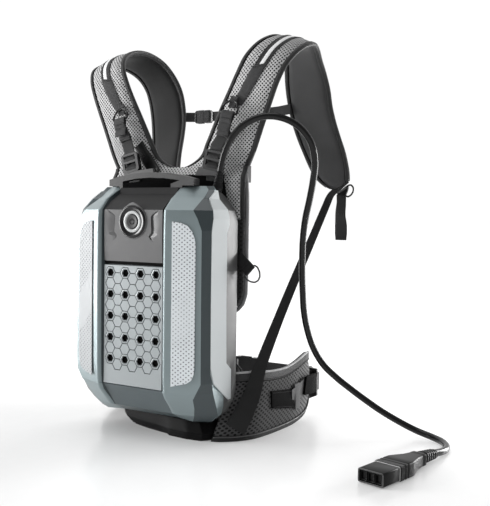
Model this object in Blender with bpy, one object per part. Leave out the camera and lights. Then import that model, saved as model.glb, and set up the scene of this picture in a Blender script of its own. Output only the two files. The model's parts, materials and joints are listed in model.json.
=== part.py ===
# Backpack power pack: a flat battery pack on a padded shoulder harness with a
# hip belt and a free power lead that ends in a three-port connector.
# Metres. +Z up, -Y is the outer front of the battery, +Y is the wearer's side,
# +X is the wearer's right. The origin is on the floor under the base tray.
import math

import bmesh
import bpy
import numpy as np
from mathutils import Vector

for ob in list(bpy.data.objects):
    bpy.data.objects.remove(ob, do_unlink=True)

# ------------------------------------------------------------ driving sizes
GAP = 0.0004              # running gap between touching pieces
WALL = 0.0032             # casing wall
FACE_Y = -0.1300          # outer face of the vent grille and the bezel
FLOOR_Y = -0.1245         # floor of the front recess behind them
RECESS_X = 0.0640         # half width of the recess floor
SIDE_X = 0.1460           # outer face of the side panels
PART_Y = -0.0562          # parting plane between front and rear shell
BACK_Y = -0.0135          # back of the battery
VENT_Z = 0.2170           # middle row of the vents
VENT_PITCH_X = 0.0330
VENT_PITCH_Z = 0.0381
VENT_R = 0.0070           # vent hexagon, centre to corner
BUTTON_Z = 0.3835
BUTTON_R = 0.0130
BUTTON_TRAVEL = 0.0018
CELL_PITCH = 0.0220
WEB = 0.0250              # shoulder webbing width
WEB_T = 0.0018            # webbing thickness
LOW_WEB = 0.0210          # lower adjusting webbing width
BELT_WEB = 0.0400         # hip belt webbing width
CHEST_WEB = 0.0200        # chest strap webbing width
CORD_R = 0.0060           # power lead radius
STRAP_T = 0.0140          # shoulder strap thickness
BELT_T = 0.0120           # hip belt thickness


# ------------------------------------------------------------------ helpers
def material(name, rgb, rough=0.5, metal=0.0):
    m = bpy.data.materials.get(name)
    if m is None:
        m = bpy.data.materials.new(name)
        m.use_nodes = True
        b = m.node_tree.nodes["Principled BSDF"]
        b.inputs["Base Color"].default_value = (*rgb, 1.0)
        b.inputs["Roughness"].default_value = rough
        b.inputs["Metallic"].default_value = metal
    return m


SLATE = (0.28, 0.34, 0.36)
SILVER = (0.62, 0.65, 0.66)
GREY = (0.36, 0.36, 0.36)
DARK = (0.09, 0.09, 0.095)
BLACK = (0.02, 0.02, 0.02)
FABRIC = (0.14, 0.14, 0.145)


def link(name, me, mat, smooth=None, origin=None):
    ob = bpy.data.objects.new(name, me)
    bpy.context.collection.objects.link(ob)
    me.materials.clear()
    me.materials.append(mat)
    if smooth is not None:
        me.shade_smooth()
        me.set_sharp_from_angle(angle=math.radians(smooth))
    if origin is not None:
        o = Vector(origin)
        for v in me.vertices:
            v.co -= o
        ob.location = o
    return ob


def from_bm(name, bm, mat, smooth=None, origin=None):
    bmesh.ops.recalc_face_normals(bm, faces=bm.faces)
    me = bpy.data.meshes.new(name)
    bm.to_mesh(me)
    bm.free()
    return link(name, me, mat, smooth, origin)


def loft_bm(rings, cap=True):
    """Closed body through rings of equal point count, each a closed loop."""
    bm = bmesh.new()
    vs = [[bm.verts.new(tuple(p)) for p in r] for r in rings]
    n = len(rings[0])
    for a, b in zip(vs[:-1], vs[1:]):
        for i in range(n):
            j = (i + 1) % n
            bm.faces.new((a[i], a[j], b[j], b[i]))
    if cap:
        bm.faces.new(list(reversed(vs[0])))
        bm.faces.new(vs[-1])
    return bm


def loft(name, rings, mat, smooth=None, origin=None):
    return from_bm(name, loft_bm(rings), mat, smooth, origin)


def prism(name, outline, axis, lo, hi, mat, smooth=None, origin=None):
    """Extrude a 2-D outline along an axis: 0 uses (y, z), 1 uses (x, z), 2 uses (x, y)."""
    def at(p, t):
        if axis == 0:
            return (t, p[0], p[1])
        if axis == 1:
            return (p[0], t, p[1])
        return (p[0], p[1], t)
    return loft(name, [[at(p, lo) for p in outline], [at(p, hi) for p in outline]], mat, smooth, origin)


def rect(x0, x1, y0, y1, c=0.0):
    if c <= 0:
        return [(x0, y0), (x1, y0), (x1, y1), (x0, y1)]
    return [(x0 + c, y0), (x1 - c, y0), (x1, y0 + c), (x1, y1 - c),
            (x1 - c, y1), (x0 + c, y1), (x0, y1 - c), (x0, y0 + c)]


def circle(cx, cy, r, n, turn=0.0):
    return [(cx + r * math.cos(turn + 2 * math.pi * i / n),
             cy + r * math.sin(turn + 2 * math.pi * i / n)) for i in range(n)]


def box(name, lo, hi, mat, c=0.0, axis=2, origin=None):
    i, j = [k for k in range(3) if k != axis]
    return prism(name, rect(lo[i], hi[i], lo[j], hi[j], c), axis, lo[axis], hi[axis], mat, origin=origin)


def annulus(name, cx, cz, r0, r1, y0, y1, n, mat, origin=None):
    """Ring about the Y axis through (cx, cz)."""
    bm = bmesh.new()
    loops = []
    for r, y in ((r0, y0), (r1, y0), (r1, y1), (r0, y1)):
        loops.append([bm.verts.new((x, y, z)) for x, z in circle(cx, cz, r, n)])
    for k in range(4):
        a, b = loops[k], loops[(k + 1) % 4]
        for i in range(n):
            j = (i + 1) % n
            bm.faces.new((a[i], a[j], b[j], b[i]))
    return from_bm(name, bm, mat, 40, origin)


def cutter(name, ob):
    ob.name = name
    ob.hide_render = True
    ob.display_type = 'WIRE'
    return ob


def cut(ob, other, op='DIFFERENCE'):
    m = ob.modifiers.new("cut", 'BOOLEAN')
    m.operation = op
    m.solver = 'EXACT'
    m.object = other


def spline(points, n):
    """n points at even spacing on a Catmull-Rom curve through the given points."""
    p = np.array(points, float)
    p = np.vstack([2 * p[0] - p[1], p, 2 * p[-1] - p[-2]])
    out = []
    for i in range(1, len(p) - 2):
        a, b, c, d = p[i - 1], p[i], p[i + 1], p[i + 2]
        for t in np.linspace(0, 1, 24, endpoint=False):
            out.append(0.5 * (2 * b + (c - a) * t + (2 * a - 5 * b + 4 * c - d) * t * t
                              + (3 * b - a - 3 * c + d) * t ** 3))
    out.append(p[-2])
    out = np.array(out)
    s = np.r_[0, np.cumsum(np.linalg.norm(np.diff(out[:, :3], axis=0), axis=1))]
    at = np.linspace(0, s[-1], n)
    return np.stack([np.interp(at, s, out[:, k]) for k in range(out.shape[1])], 1)


def mirrored(points):
    q = np.array(points, float).copy()
    q[..., 0] *= -1
    return q


def ribbon(name, centre, side, width, thick, mat, chamfer=0.0, smooth=40, flip=1.0, origin=None):
    """Flat band along a path. side is the width direction at each point."""
    c = np.array(centre, float)
    n = len(c)
    s = np.array(side, float)
    if s.ndim == 1:
        s = np.repeat(s[None], n, 0)
    w = np.broadcast_to(np.array(width, float), (n,))
    t = np.gradient(c, axis=0)
    t /= np.linalg.norm(t, axis=1)[:, None]
    s = s - (s * t).sum(1)[:, None] * t
    s /= np.linalg.norm(s, axis=1)[:, None]
    k = np.cross(s, t)
    rings = []
    for i in range(n):
        a, b = s[i] * w[i] / 2, k[i] * thick / 2
        if chamfer:
            f = 1 - chamfer / (w[i] / 2)
            g = 1 - chamfer / (thick / 2)
            rings.append([c[i] - a * f - b, c[i] + a * f - b, c[i] + a - b * g, c[i] + a + b * g,
                          c[i] + a * f + b, c[i] - a * f + b, c[i] - a + b * g, c[i] - a - b * g])
        else:
            rings.append([c[i] - a - b, c[i] + a - b, c[i] + a + b, c[i] - a + b])
    return loft(name, rings, mat, smooth, origin)


def place(ob, at, xdir, zdir):
    """Put an object whose own X and Z axes are width and height."""
    x = Vector(xdir).normalized()
    z = Vector(zdir)
    z = (z - z.dot(x) * x).normalized()
    y = z.cross(x)
    m = ob.matrix_world.to_3x3().copy()
    m[0][0], m[1][0], m[2][0] = x
    m[0][1], m[1][1], m[2][1] = y
    m[0][2], m[1][2], m[2][2] = z
    m = m.to_4x4()
    m.translation = Vector(at)
    ob.matrix_world = m
    bpy.context.view_layer.update()


# ------------------------------------------------------------- battery shell
# Each row: z, then (x, y) of recess edge, pod inner edge, pod outer edge,
# valley edge, and the x of the wall under the side panel.
SHELL = [
    (0.0360, (0.0600, -0.0700), (0.0680, -0.0720), (0.0950, -0.0790), (0.1220, -0.0640), 0.1215),
    (0.0500, (0.0628, -0.0970), (0.0700, -0.1000), (0.1060, -0.0920), (0.1390, -0.0680), 0.1385),
    (0.0660, (0.0634, -0.1085), (0.0700, -0.1150), (0.1130, -0.1020), (0.1440, -0.0800), 0.1428),
    (0.0830, (0.0638, -0.1210), (0.0700, -0.1310), (0.1170, -0.1130), (0.1455, -0.0890), 0.1428),
    (0.0940, (0.0640, -0.1290), (0.0700, -0.1360), (0.1250, -0.1170), (0.1457, -0.0940), 0.1428),
    (0.0956, (0.0640, FLOOR_Y), (0.0700, -0.1362), (0.1260, -0.1172), (0.1457, -0.0945), 0.1428),
    (0.1120, (0.0640, FLOOR_Y), (0.0700, -0.1375), (0.1355, -0.1180), (0.1457, -0.0990), 0.1428),
    (0.1300, (0.0640, FLOOR_Y), (0.0700, -0.1380), (0.1360, -0.1190), (0.1457, -0.1040), 0.1428),
    (0.2420, (0.0640, FLOOR_Y), (0.0700, -0.1388), (0.1360, -0.1200), (0.1457, -0.1052), 0.1428),
    (0.3700, (0.0640, FLOOR_Y), (0.0700, -0.1385), (0.1360, -0.1205), (0.1457, -0.1052), 0.1428),
    (0.3900, (0.0640, FLOOR_Y), (0.0700, -0.1380), (0.1280, -0.1215), (0.1455, -0.1000), 0.1426),
    (0.4040, (0.0640, FLOOR_Y), (0.0700, -0.1370), (0.1180, -0.1195), (0.1430, -0.0975), 0.1395),
    (0.4240, (0.0640, -0.0940), (0.0700, -0.1180), (0.1150, -0.0860), (0.1272, -0.0890), 0.1258),
    (0.4285, (0.0640, -0.0845), (0.0700, -0.1110), (0.1140, -0.0780), (0.1260, -0.0790), 0.1250),
    (0.4400, (0.0640, -0.0840), (0.0700, -0.0920), (0.1120, -0.0640), (0.1240, -0.0620), 0.1232),
    (0.4468, (0.0645, -0.0760), (0.0690, -0.0740), (0.1050, -0.0600), (0.1180, -0.0590), 0.1174),
]


def shell_ring(row, rear):
    z, a, b, c, d, xi = row
    half = [a, b, c, d, (xi, d[1] + 0.0004), (xi, rear)]
    return [(x, y, z) for x, y in half] + [(-x, y, z) for x, y in reversed(half)]


slate = material("slate_shell", SLATE, 0.45)
front = loft("battery_front_shell", [shell_ring(r, PART_Y) for r in SHELL], slate, 25)
cav = cutter("cut_front_cavity", box("c", (-0.1385, -0.1210, 0.0980), (0.1385, 0.0, 0.4000), slate, 0.012, 1))
for lo, hi, tag in (((-0.1130, -0.1300, 0.125), (-0.0730, -0.10, 0.385), "l"), ((0.0730, -0.1300, 0.125), (0.1130, -0.10, 0.385), "r")):
    # pockets inside the two raised pods, sloped like the pod face
    s = -1 if tag == "l" else 1
    c = cutter("cut_pod_" + tag, loft("c", [[(s * 0.073, -0.1335, z), (s * 0.120, -0.1205, z), (s * 0.120, -0.100, z), (s * 0.073, -0.100, z)] for z in (0.125, 0.385)], slate))
    cut(front, c)
cut(front, cav)
# window behind the vents and the well under the carry handle
cut(front, cutter("cut_vent_window", box("c", (-0.0570, -0.1350, 0.1280), (0.0570, -0.1000, 0.3040), slate, 0.006, 1)))
cut(front, cutter("cut_handle_well", box("c", (-0.0694, -0.0840, 0.4300), (0.0694, 0.0, 0.4600), slate, 0.0, 1)))

# rear shell: a shallow tray that closes the battery towards the wearer
REAR = [
    (0.0380, 0.1210, -0.0300), (0.0520, 0.1370, -0.0200), (0.0700, 0.1424, -0.0150), (0.0900, 0.1424, BACK_Y),
    (0.3850, 0.1424, BACK_Y), (0.4050, 0.1385, -0.0150), (0.4240, 0.1255, -0.0190), (0.4370, 0.1170, -0.0300),
]


def rear_ring(row):
    z, x, yb = row
    y0 = PART_Y + GAP
    half = [(x, y0), (x, yb - 0.006), (x - 0.007, yb)]
    return [(p, q, z) for p, q in half] + [(-p, q, z) for p, q in reversed(half)]


rear = loft("battery_rear_shell", [rear_ring(r) for r in REAR], material("rear_grey", GREY, 0.5), 25)
cut(rear, cutter("cut_rear_cavity", box("c", (-0.1360, -0.0700, 0.0620), (0.1360, BACK_Y - WALL, 0.4060), slate, 0.010, 1)))
cut(rear, cutter("cut_rear_well", box("c", (-0.0694, -0.0700, 0.4300), (0.0694, -0.0280, 0.4600), slate, 0.0, 1)))

# silver side panels: z, front edge y, rear edge y, outer x
PANEL = [
    (0.0750, -0.0445, -0.0370, SIDE_X), (0.1100, -0.0925, -0.0370, SIDE_X), (0.1270, -0.1000, -0.0370, SIDE_X),
    (0.1400, -0.1035, -0.0530, SIDE_X), (0.2400, -0.1048, -0.0556, SIDE_X), (0.3650, -0.1046, -0.0556, SIDE_X),
    (0.3800, -0.1022, -0.0480, SIDE_X), (0.3900, -0.0993, -0.0475, SIDE_X - 0.0002), (0.4060, -0.0960, -0.0480, 0.1424),
    (0.4240, -0.0872, -0.0570, 0.1304), (0.4390, -0.0640, -0.0590, 0.1284),
]
for tag, s in (("left", -1), ("right", 1)):
    rings = []
    for z, yf, yr, x in PANEL:
        rings.append([(s * x, yf, z), (s * x, yr, z), (s * (x - 0.0026), yr, z), (s * (x - 0.0026), yf, z)])
    loft("side_panel_" + tag, rings, material("silver_panel", SILVER, 0.4), 25)

# vent grille: a plate with twenty hexagonal vents
grille = box("vent_grille", (-0.0636, FACE_Y, 0.0960), (0.0636, FLOOR_Y - GAP, 0.3065), material("grille_silver", SILVER, 0.4), 0.0, 1)
hexes = bmesh.new()
for i in range(4):
    for j in range(5):
        x = (i - 1.5) * VENT_PITCH_X
        z = VENT_Z + (j - 2) * VENT_PITCH_Z
        o = circle(x, z, VENT_R, 6)
        a = [hexes.verts.new((p, -0.140, q)) for p, q in o]
        b = [hexes.verts.new((p, -0.115, q)) for p, q in o]
        for k in range(6):
            hexes.faces.new((a[k], a[(k + 1) % 6], b[(k + 1) % 6], b[k]))
        hexes.faces.new(list(reversed(a)))
        hexes.faces.new(b)
cut(grille, cutter("cut_vents", from_bm("c", hexes, slate)))

# control bezel: bends back at its top edge, bored for the power button
BEZEL_OUT = [(-0.1298, 0.3080), (-0.1308, 0.3350), (-0.1312, 0.3700), (-0.1306, 0.4040), (-0.1130, 0.4190), (-0.0880, 0.4330)]
BEZEL_IN = [(-0.0862, 0.4290), (-0.1100, 0.4150), (-0.1249, 0.4050), (-0.1249, 0.3080)]
bezel = prism("control_bezel", BEZEL_OUT + BEZEL_IN, 0, -0.0634, 0.0634, material("bezel_dark", DARK, 0.4), 25)
cut(bezel, cutter("cut_button_bore", prism("c", circle(0, BUTTON_Z, BUTTON_R + 0.0006, 20), 1, -0.14, -0.11, slate)))
annulus("button_bezel_ring", 0, BUTTON_Z, 0.0212, 0.0285, -0.1340, -0.1317, 28, material("ring_black", BLACK, 0.25))
annulus("led_ring", 0, BUTTON_Z, BUTTON_R + 0.0006, 0.0208, -0.1332, -0.1317, 28, material("led_white", (0.8, 0.82, 0.82), 0.3))
prism("power_button", circle(0, BUTTON_Z, BUTTON_R, 20), 1, -0.1336, -0.1269, material("button_dark", DARK, 0.35), 40, origin=(0, -0.1336, BUTTON_Z))

# perforated inserts on the pod faces; the face runs from (0.070, -0.1388) to (0.136, -0.120)
SLOPE = (-0.1200 + 0.1388) / (0.136 - 0.070)


def pod_y(x):
    return -0.1391 + (abs(x) - 0.070) * SLOPE


INSERT = [(0.0820, 0.1060), (0.1180, 0.1130), (0.1290, 0.1330), (0.1290, 0.3620), (0.1230, 0.3780), (0.0820, 0.3860)]
for tag, s in (("left", -1), ("right", 1)):
    rings = []
    for off in (0.0018, 0.0006):
        rings.append([(s * x, pod_y(x) - off, z) for x, z in INSERT])
    loft("pod_insert_" + tag, rings, material("insert_silver", SILVER, 0.35))

# carry handle across the top, with a finger gap under its bar
HANDLE = [(-0.0930, 0.4472), (-0.0930, 0.4590), (-0.0700, 0.4650), (-0.0350, 0.4698), (0.0, 0.4715), (0.0350, 0.4698), (0.0700, 0.4650),
          (0.0930, 0.4590), (0.0930, 0.4472), (0.0690, 0.4472), (0.0690, 0.4305), (0.0450, 0.4305), (0.0450, 0.4505), (0.0640, 0.4565),
          (0.0300, 0.4605), (0.0, 0.4618), (-0.0300, 0.4605), (-0.0620, 0.4560), (-0.0620, 0.4305), (-0.0690, 0.4305), (-0.0690, 0.4472)]
prism("carry_handle", HANDLE, 1, -0.0825, -0.0640, material("handle_black", BLACK, 0.3), 25)

# ------------------------------------------------------------ inside the pack
cellm = material("cell_holder", (0.05, 0.18, 0.09), 0.5)


def cell_outline(cols, rows, x0, z0):
    """Outline round a grid of round cells, scalloped between neighbours."""
    pts = []
    r = CELL_PITCH * 0.5
    ring = [(i, 0) for i in range(cols)] + [(cols - 1, j) for j in range(1, rows)] \
        + [(i, rows - 1) for i in range(cols - 2, -1, -1)] + [(0, j) for j in range(rows - 2, 0, -1)]
    for i, j in ring:
        cx, cz = x0 + (i + 0.5) * CELL_PITCH, z0 + (j + 0.5) * CELL_PITCH
        if (i, j) == (0, 0):
            arc = (180, 225, 270)
        elif (i, j) == (cols - 1, 0):
            arc = (270, 315, 360)
        elif (i, j) == (cols - 1, rows - 1):
            arc = (0, 45, 90)
        elif (i, j) == (0, rows - 1):
            arc = (90, 135, 180)
        elif j == 0:
            arc = (250, 290)
        elif j == rows - 1:
            arc = (70, 110)
        elif i == cols - 1:
            arc = (-20, 20)
        else:
            arc = (160, 200)
        pts += [(cx + r * math.cos(math.radians(a)), cz + r * math.sin(math.radians(a))) for a in arc]
    return pts


prism("cell_pack", cell_outline(10, 12, -0.1100, 0.1000), 1, -0.0930, -0.0210, cellm)
box("control_board", (-0.0480, -0.1120, 0.3150), (0.0480, -0.1104, 0.3940), material("board_green", (0.02, 0.16, 0.06), 0.5), 0.002, 1)

# --------------------------------------------------------- lead and connector
GLAND = (0.1085, -0.0330)
black = material("black_plastic", BLACK, 0.4)
GL = [(0.0098, 0.4376), (0.0098, 0.4440), (0.0088, 0.4470), (0.0080, 0.4600), (0.0070, 0.4720)]
gl_rings = [[(x, y, z) for x, y in circle(GLAND[0] + 0.20 * (z - 0.4376), GLAND[1], r, 14)] for r, z in GL]
loft("cable_gland", gl_rings, black, 40)

# route of the lead: up out of the gland, over in a loop, down the right side
# and along the floor to the connector
CORD = [
    (0.1159, -0.0330, 0.4741), (0.1192, -0.0335, 0.4870), (0.1260, -0.0340, 0.5080), (0.1390, -0.0335, 0.5310), (0.1610, -0.0305, 0.5530),
    (0.1910, -0.0240, 0.5660), (0.2220, -0.0120, 0.5650), (0.2490, 0.0020, 0.5510), (0.2660, 0.0170, 0.5250), (0.2690, 0.0300, 0.4920),
    (0.2620, 0.0390, 0.4590), (0.2520, 0.0470, 0.4260), (0.2420, 0.0530, 0.3940), (0.2350, 0.0590, 0.3610), (0.2310, 0.0650, 0.3270),
    (0.2290, 0.0700, 0.2920), (0.2285, 0.0750, 0.2580), (0.2290, 0.0800, 0.2240), (0.2330, 0.0870, 0.1900), (0.2420, 0.0950, 0.1560),
    (0.2580, 0.1040, 0.1260), (0.2790, 0.1150, 0.1030), (0.3040, 0.1260, 0.0820), (0.3300, 0.1370, 0.0620), (0.3570, 0.1480, 0.0430),
    (0.3870, 0.1580, 0.0260), (0.4170, 0.1640, 0.0130), (0.4460, 0.1590, 0.0075), (0.4700, 0.1420, 0.0066), (0.4850, 0.1190, 0.0066),
    (0.4900, 0.0960, 0.0068), (0.4882, 0.0740, 0.0080), (0.4842, 0.0560, 0.0100),
]
pts = spline(CORD, 78)
cu = bpy.data.curves.new("power_cord", 'CURVE')
cu.dimensions = '3D'
cu.bevel_depth = CORD_R
cu.bevel_resolution = 2
cu.use_fill_caps = True
sp = cu.splines.new('POLY')
sp.points.add(len(pts) - 1)
for q, p in zip(sp.points, pts):
    q.co = (*p, 1.0)
cu.materials.append(material("cord_black", BLACK, 0.3))
bpy.context.collection.objects.link(bpy.data.objects.new("power_cord", cu))

# the connector lies flat on the floor along PLUG_DIR
PLUG_DIR = Vector((-0.2310, -0.9730, 0.0)).normalized()
PLUG_SIDE = Vector((-PLUG_DIR.y, PLUG_DIR.x, 0))
tail = Vector(pts[-1])


def along(d, w, h, zc, c=0.25):
    """Chamfered rectangular section at distance d along the connector."""
    o = tail + PLUG_DIR * d
    out = []
    for a, b in ((-1, -1 + c), (-1 + c, -1), (1 - c, -1), (1, -1 + c), (1, 1 - c), (1 - c, 1), (-1 + c, 1), (-1, 1 - c)):
        p = o + PLUG_SIDE * (a * w / 2)
        out.append((p.x, p.y, zc + b * h / 2))
    return out


zt = tail.z
loft("plug_boot", [along(0.0020, 0.0135, 0.0135, zt), along(0.0080, 0.0155, 0.0155, zt + 0.0006), along(0.0480, 0.0190, 0.0175, 0.0122)], black, 40)
PB = material("plug_black", BLACK, 0.45)
body = loft("plug_body", [along(0.0484, 0.0260, 0.0195, 0.0122), along(0.0760, 0.0300, 0.0210, 0.0122), along(0.1040, 0.0480, 0.0235, 0.0122),
                          along(0.1400, 0.0490, 0.0235, 0.0122), along(0.1460, 0.0455, 0.0215, 0.0122), along(0.1860, 0.0450, 0.0212, 0.0122)], PB, 30)
sock = cutter("cut_plug_socket", loft("c", [along(0.1810, 0.0410, 0.0172, 0.0122, 0.1), along(0.1960, 0.0410, 0.0172, 0.0122, 0.1)], PB))
cut(body, sock)
for k, off in enumerate((-0.0132, 0.0, 0.0132)):
    o = tail + PLUG_DIR * 0.1630
    e = tail + PLUG_DIR * 0.1960
    ring = []
    for q in (o, e):
        c0 = q + PLUG_SIDE * off
        ring.append([(c0.x + PLUG_SIDE.x * a * 0.0050, c0.y + PLUG_SIDE.y * a * 0.0050, 0.0122 + b * 0.0062) for a, b in ((-1, -1), (1, -1), (1, 1), (-1, 1))])
    cut(body, cutter("cut_port_%d" % k, loft("c", ring, PB)))

# ------------------------------------------------------------- harness frame
FRAME = [(-0.0900, 0.0460), (0.0900, 0.0460), (0.1180, 0.0800), (0.1180, 0.4100), (0.1080, 0.4600), (0.1080, 0.4700), (-0.1080, 0.4700),
         (-0.1080, 0.4600), (-0.1180, 0.4100), (-0.1180, 0.0800)]
frame = prism("back_frame", FRAME, 1, BACK_Y + GAP, -0.0048, material("frame_black", BLACK, 0.4))
for i, (x, z) in enumerate(((-0.085, 0.120), (0.085, 0.120), (-0.085, 0.380), (0.085, 0.380))):
    hole = prism("c", circle(x, z, 0.0030, 12), 1, -0.0300, 0.0, slate)
    cut(frame, cutter("cut_bolt_%d" % i, hole))
    cut(rear, bpy.data.objects["cut_bolt_%d" % i])
    cut(frame, cutter("cut_head_%d" % i, prism("c", circle(x, z, 0.0056, 12), 1, -0.0086, 0.0, slate)))
    prof = [(0.0025, -0.0195), (0.0025, -0.0082), (0.0050, -0.0082), (0.0050, -0.0056)]
    loft("frame_bolt_%d" % (i + 1), [[(p, y, q) for p, q in circle(x, z, r, 12)] for r, y in prof], material("bolt_steel", (0.5, 0.5, 0.5), 0.35, 1.0), 40)

# base tray: the moulded foot the pack stands on
TRAY = [(-0.0900, -0.0300), (-0.0780, -0.0500), (-0.0500, -0.0600), (0.0, -0.0640), (0.0900, -0.0605), (0.1180, -0.0530), (0.1300, -0.0370),
        (0.1300, 0.0250), (0.1180, 0.0360), (-0.0780, 0.0360), (-0.0900, 0.0250)]


def tray_ring(k, wide, z):
    return [(x * k - (wide if x < 0 else 0.0), y * k + 0.0140 * (k - 1), z) for x, y in TRAY]


loft("base_tray", [tray_ring(0.955, -0.030, 0.0), tray_ring(0.985, -0.022, 0.004), tray_ring(1.0, -0.010, 0.014), tray_ring(0.90, 0.008, 0.0335)],
     material("tray_black", BLACK, 0.45), 30)

# back pad: rounded slab on the wearer's side of the frame
PAD = [(-0.1000, 0.2310), (0.1000, 0.2310), (0.1350, 0.2420), (0.1520, 0.2720), (0.1560, 0.3200), (0.1550, 0.4000), (0.1530, 0.4400),
       (0.1500, 0.4840), (-0.1500, 0.4840), (-0.1530, 0.4400), (-0.1550, 0.4000), (-0.1560, 0.3200), (-0.1520, 0.2720), (-0.1350, 0.2420)]
fab = material("pad_fabric", FABRIC, 0.9)


def pad_ring(k, y):
    cz = 0.3575
    return [(x * k, y, cz + (z - cz) * k) for x, z in PAD]


loft("back_pad", [pad_ring(0.985, -0.0042), pad_ring(1.0, 0.0000), pad_ring(1.0, 0.0160), pad_ring(0.95, 0.0230)], fab, 40)
LUM = [(-0.1300, 0.0480), (0.1300, 0.0480), (0.1400, 0.0620), (0.1400, 0.1180), (0.1250, 0.1300), (-0.1250, 0.1300), (-0.1400, 0.1180), (-0.1400, 0.0620)]
loft("lumbar_pad", [[(x, -0.0042, z) for x, z in LUM], [(x, 0.0120, z) for x, z in LUM],
                    [(x * 0.93, 0.0240, 0.089 + (z - 0.089) * 0.86) for x, z in LUM]], fab, 40)

# shoulder straps: two edge curves each, from the pad over the shoulder to the chest
OUTER = [(0.1500, 0.0110, 0.4846), (0.1620, 0.0100, 0.5100), (0.1735, 0.0090, 0.5400), (0.1850, 0.0080, 0.5700), (0.1970, 0.0070, 0.6000),
         (0.2090, 0.0070, 0.6300), (0.2220, 0.0130, 0.6590), (0.2350, 0.0320, 0.6840), (0.2400, 0.0620, 0.6995), (0.2360, 0.0980, 0.7070),
         (0.2270, 0.1320, 0.7035), (0.2190, 0.1620, 0.6900), (0.2170, 0.1870, 0.6680), (0.2180, 0.2020, 0.6420), (0.2190, 0.2110, 0.6130),
         (0.2230, 0.2200, 0.5840), (0.2290, 0.2300, 0.5550), (0.2360, 0.2400, 0.5250), (0.2400, 0.2490, 0.4930), (0.2270, 0.2570, 0.4640)]
INNER = [(0.0040, 0.0110, 0.4846), (0.0430, 0.0100, 0.5020), (0.0600, 0.0080, 0.5300), (0.0750, 0.0070, 0.5600), (0.0900, 0.0060, 0.5900),
         (0.1060, 0.0060, 0.6200), (0.1210, 0.0070, 0.6500), (0.1350, 0.0120, 0.6800), (0.1480, 0.0320, 0.7060), (0.1550, 0.0650, 0.7235),
         (0.1550, 0.1000, 0.7310), (0.1490, 0.1300, 0.7275), (0.1400, 0.1560, 0.7140), (0.1310, 0.1780, 0.6900), (0.1250, 0.1930, 0.6630),
         (0.1240, 0.2030, 0.6340), (0.1270, 0.2110, 0.6040), (0.1340, 0.2160, 0.5740), (0.1470, 0.2240, 0.5350), (0.1680, 0.2450, 0.4720)]


def edge_pair(n):
    """Outer and inner edge sampled together by their point index."""
    def samp(p):
        p = np.array(p, float)
        q = np.vstack([2 * p[0] - p[1], p, 2 * p[-1] - p[-2]])
        out = []
        for u in np.linspace(0, len(p) - 1, n):
            i = min(int(u), len(p) - 2)
            t = u - i
            a, b, c, d = q[i], q[i + 1], q[i + 2], q[i + 3]
            out.append(0.5 * (2 * b + (c - a) * t + (2 * a - 5 * b + 4 * c - d) * t * t + (3 * b - a - 3 * c + d) * t ** 3))
        return np.array(out)
    return samp(OUTER), samp(INNER)


def strap(name, s):
    o, i = edge_pair(39)
    mid = (o + i) / 2
    t = np.gradient(mid, axis=0)
    t /= np.linalg.norm(t, axis=1)[:, None]
    w = o - i
    wn = w / np.linalg.norm(w, axis=1)[:, None]
    k = np.cross(wn, t)
    k /= np.linalg.norm(k, axis=1)[:, None]
    rings = []
    h = STRAP_T / 2
    for a, b, n, u in zip(o, i, k, wn):
        r = [b + u * 0.006 + n * h, a - u * 0.006 + n * h, a + n * h * 0.3, a - n * h * 0.3,
             a - u * 0.006 - n * h, b + u * 0.006 - n * h, b - n * h * 0.3, b + n * h * 0.3]
        rings.append([(s * p[0], p[1], p[2]) for p in r])
    rings[0] = [(p[0], p[1], 0.4846) for p in rings[0]]
    return loft(name, rings, fab, 50)


strap("shoulder_strap_left", -1)
strap("shoulder_strap_right", 1)

# hip belt wings: plan curve and height of the bottom and the top edge; the left
# wing's back corner stands clear of the floor
BOT = [(0.1475, -0.0500, 0.0), (0.1650, -0.0350, 0.0), (0.1770, -0.0100, 0.0), (0.1820, 0.0300, 0.0), (0.1840, 0.0800, 0.0),
       (0.1830, 0.1300, 0.0010), (0.1790, 0.1800, 0.0060), (0.1720, 0.2140, 0.0180), (0.1640, 0.2340, 0.0340)]
BOT_LIFTED = [(0.1475, -0.0300, 0.0380), (0.1640, -0.0200, 0.0300), (0.1760, 0.0000, 0.0180), (0.1820, 0.0350, 0.0070), (0.1840, 0.0800, 0.0),
              (0.1830, 0.1300, 0.0010), (0.1790, 0.1800, 0.0060), (0.1720, 0.2140, 0.0180), (0.1640, 0.2340, 0.0340)]
TOP = [(0.1500, 0.0040, 0.1140), (0.1640, 0.0160, 0.1150), (0.1740, 0.0330, 0.1140), (0.1810, 0.0600, 0.1120), (0.1860, 0.1000, 0.1120),
       (0.1880, 0.1400, 0.1180), (0.1870, 0.1780, 0.1270), (0.1800, 0.2120, 0.1290), (0.1680, 0.2340, 0.1250)]


def wing(name, s, bottom):
    b = spline(bottom, 17)
    t = spline(TOP, 17)
    db, dt = np.gradient(b, axis=0), np.gradient(t, axis=0)
    rings = []
    for k in range(17):
        d = db[k] + dt[k]
        inn = np.array([-d[1], d[0], 0.0])
        inn /= np.linalg.norm(inn)
        up = (t[k] - b[k]) / np.linalg.norm(t[k] - b[k])
        q = [b[k] + up * 0.004, b[k] + inn * 0.003, b[k] + inn * (BELT_T - 0.003), b[k] + inn * BELT_T + up * 0.004,
             t[k] + inn * BELT_T - up * 0.004, t[k] + inn * (BELT_T - 0.003), t[k] + inn * 0.003, t[k] - up * 0.004]
        rings.append([(s * p[0], p[1], max(p[2], 0.0)) for p in q])
    return loft(name, rings, fab, 50)


wing("hip_belt_left", -1, BOT_LIFTED)
wing("hip_belt_right", 1, BOT)

# ------------------------------------------------------------------ webbing
webm = material("webbing_black", (0.03, 0.03, 0.03), 0.8)
plm = material("buckle_black", BLACK, 0.35)
steel = material("ring_steel", (0.25, 0.25, 0.26), 0.3, 1.0)


def both(fn):
    for tag, s in (("left", -1), ("right", 1)):
        fn(tag, s)


def flip(s, p):
    return (s * p[0], p[1], p[2])


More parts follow.
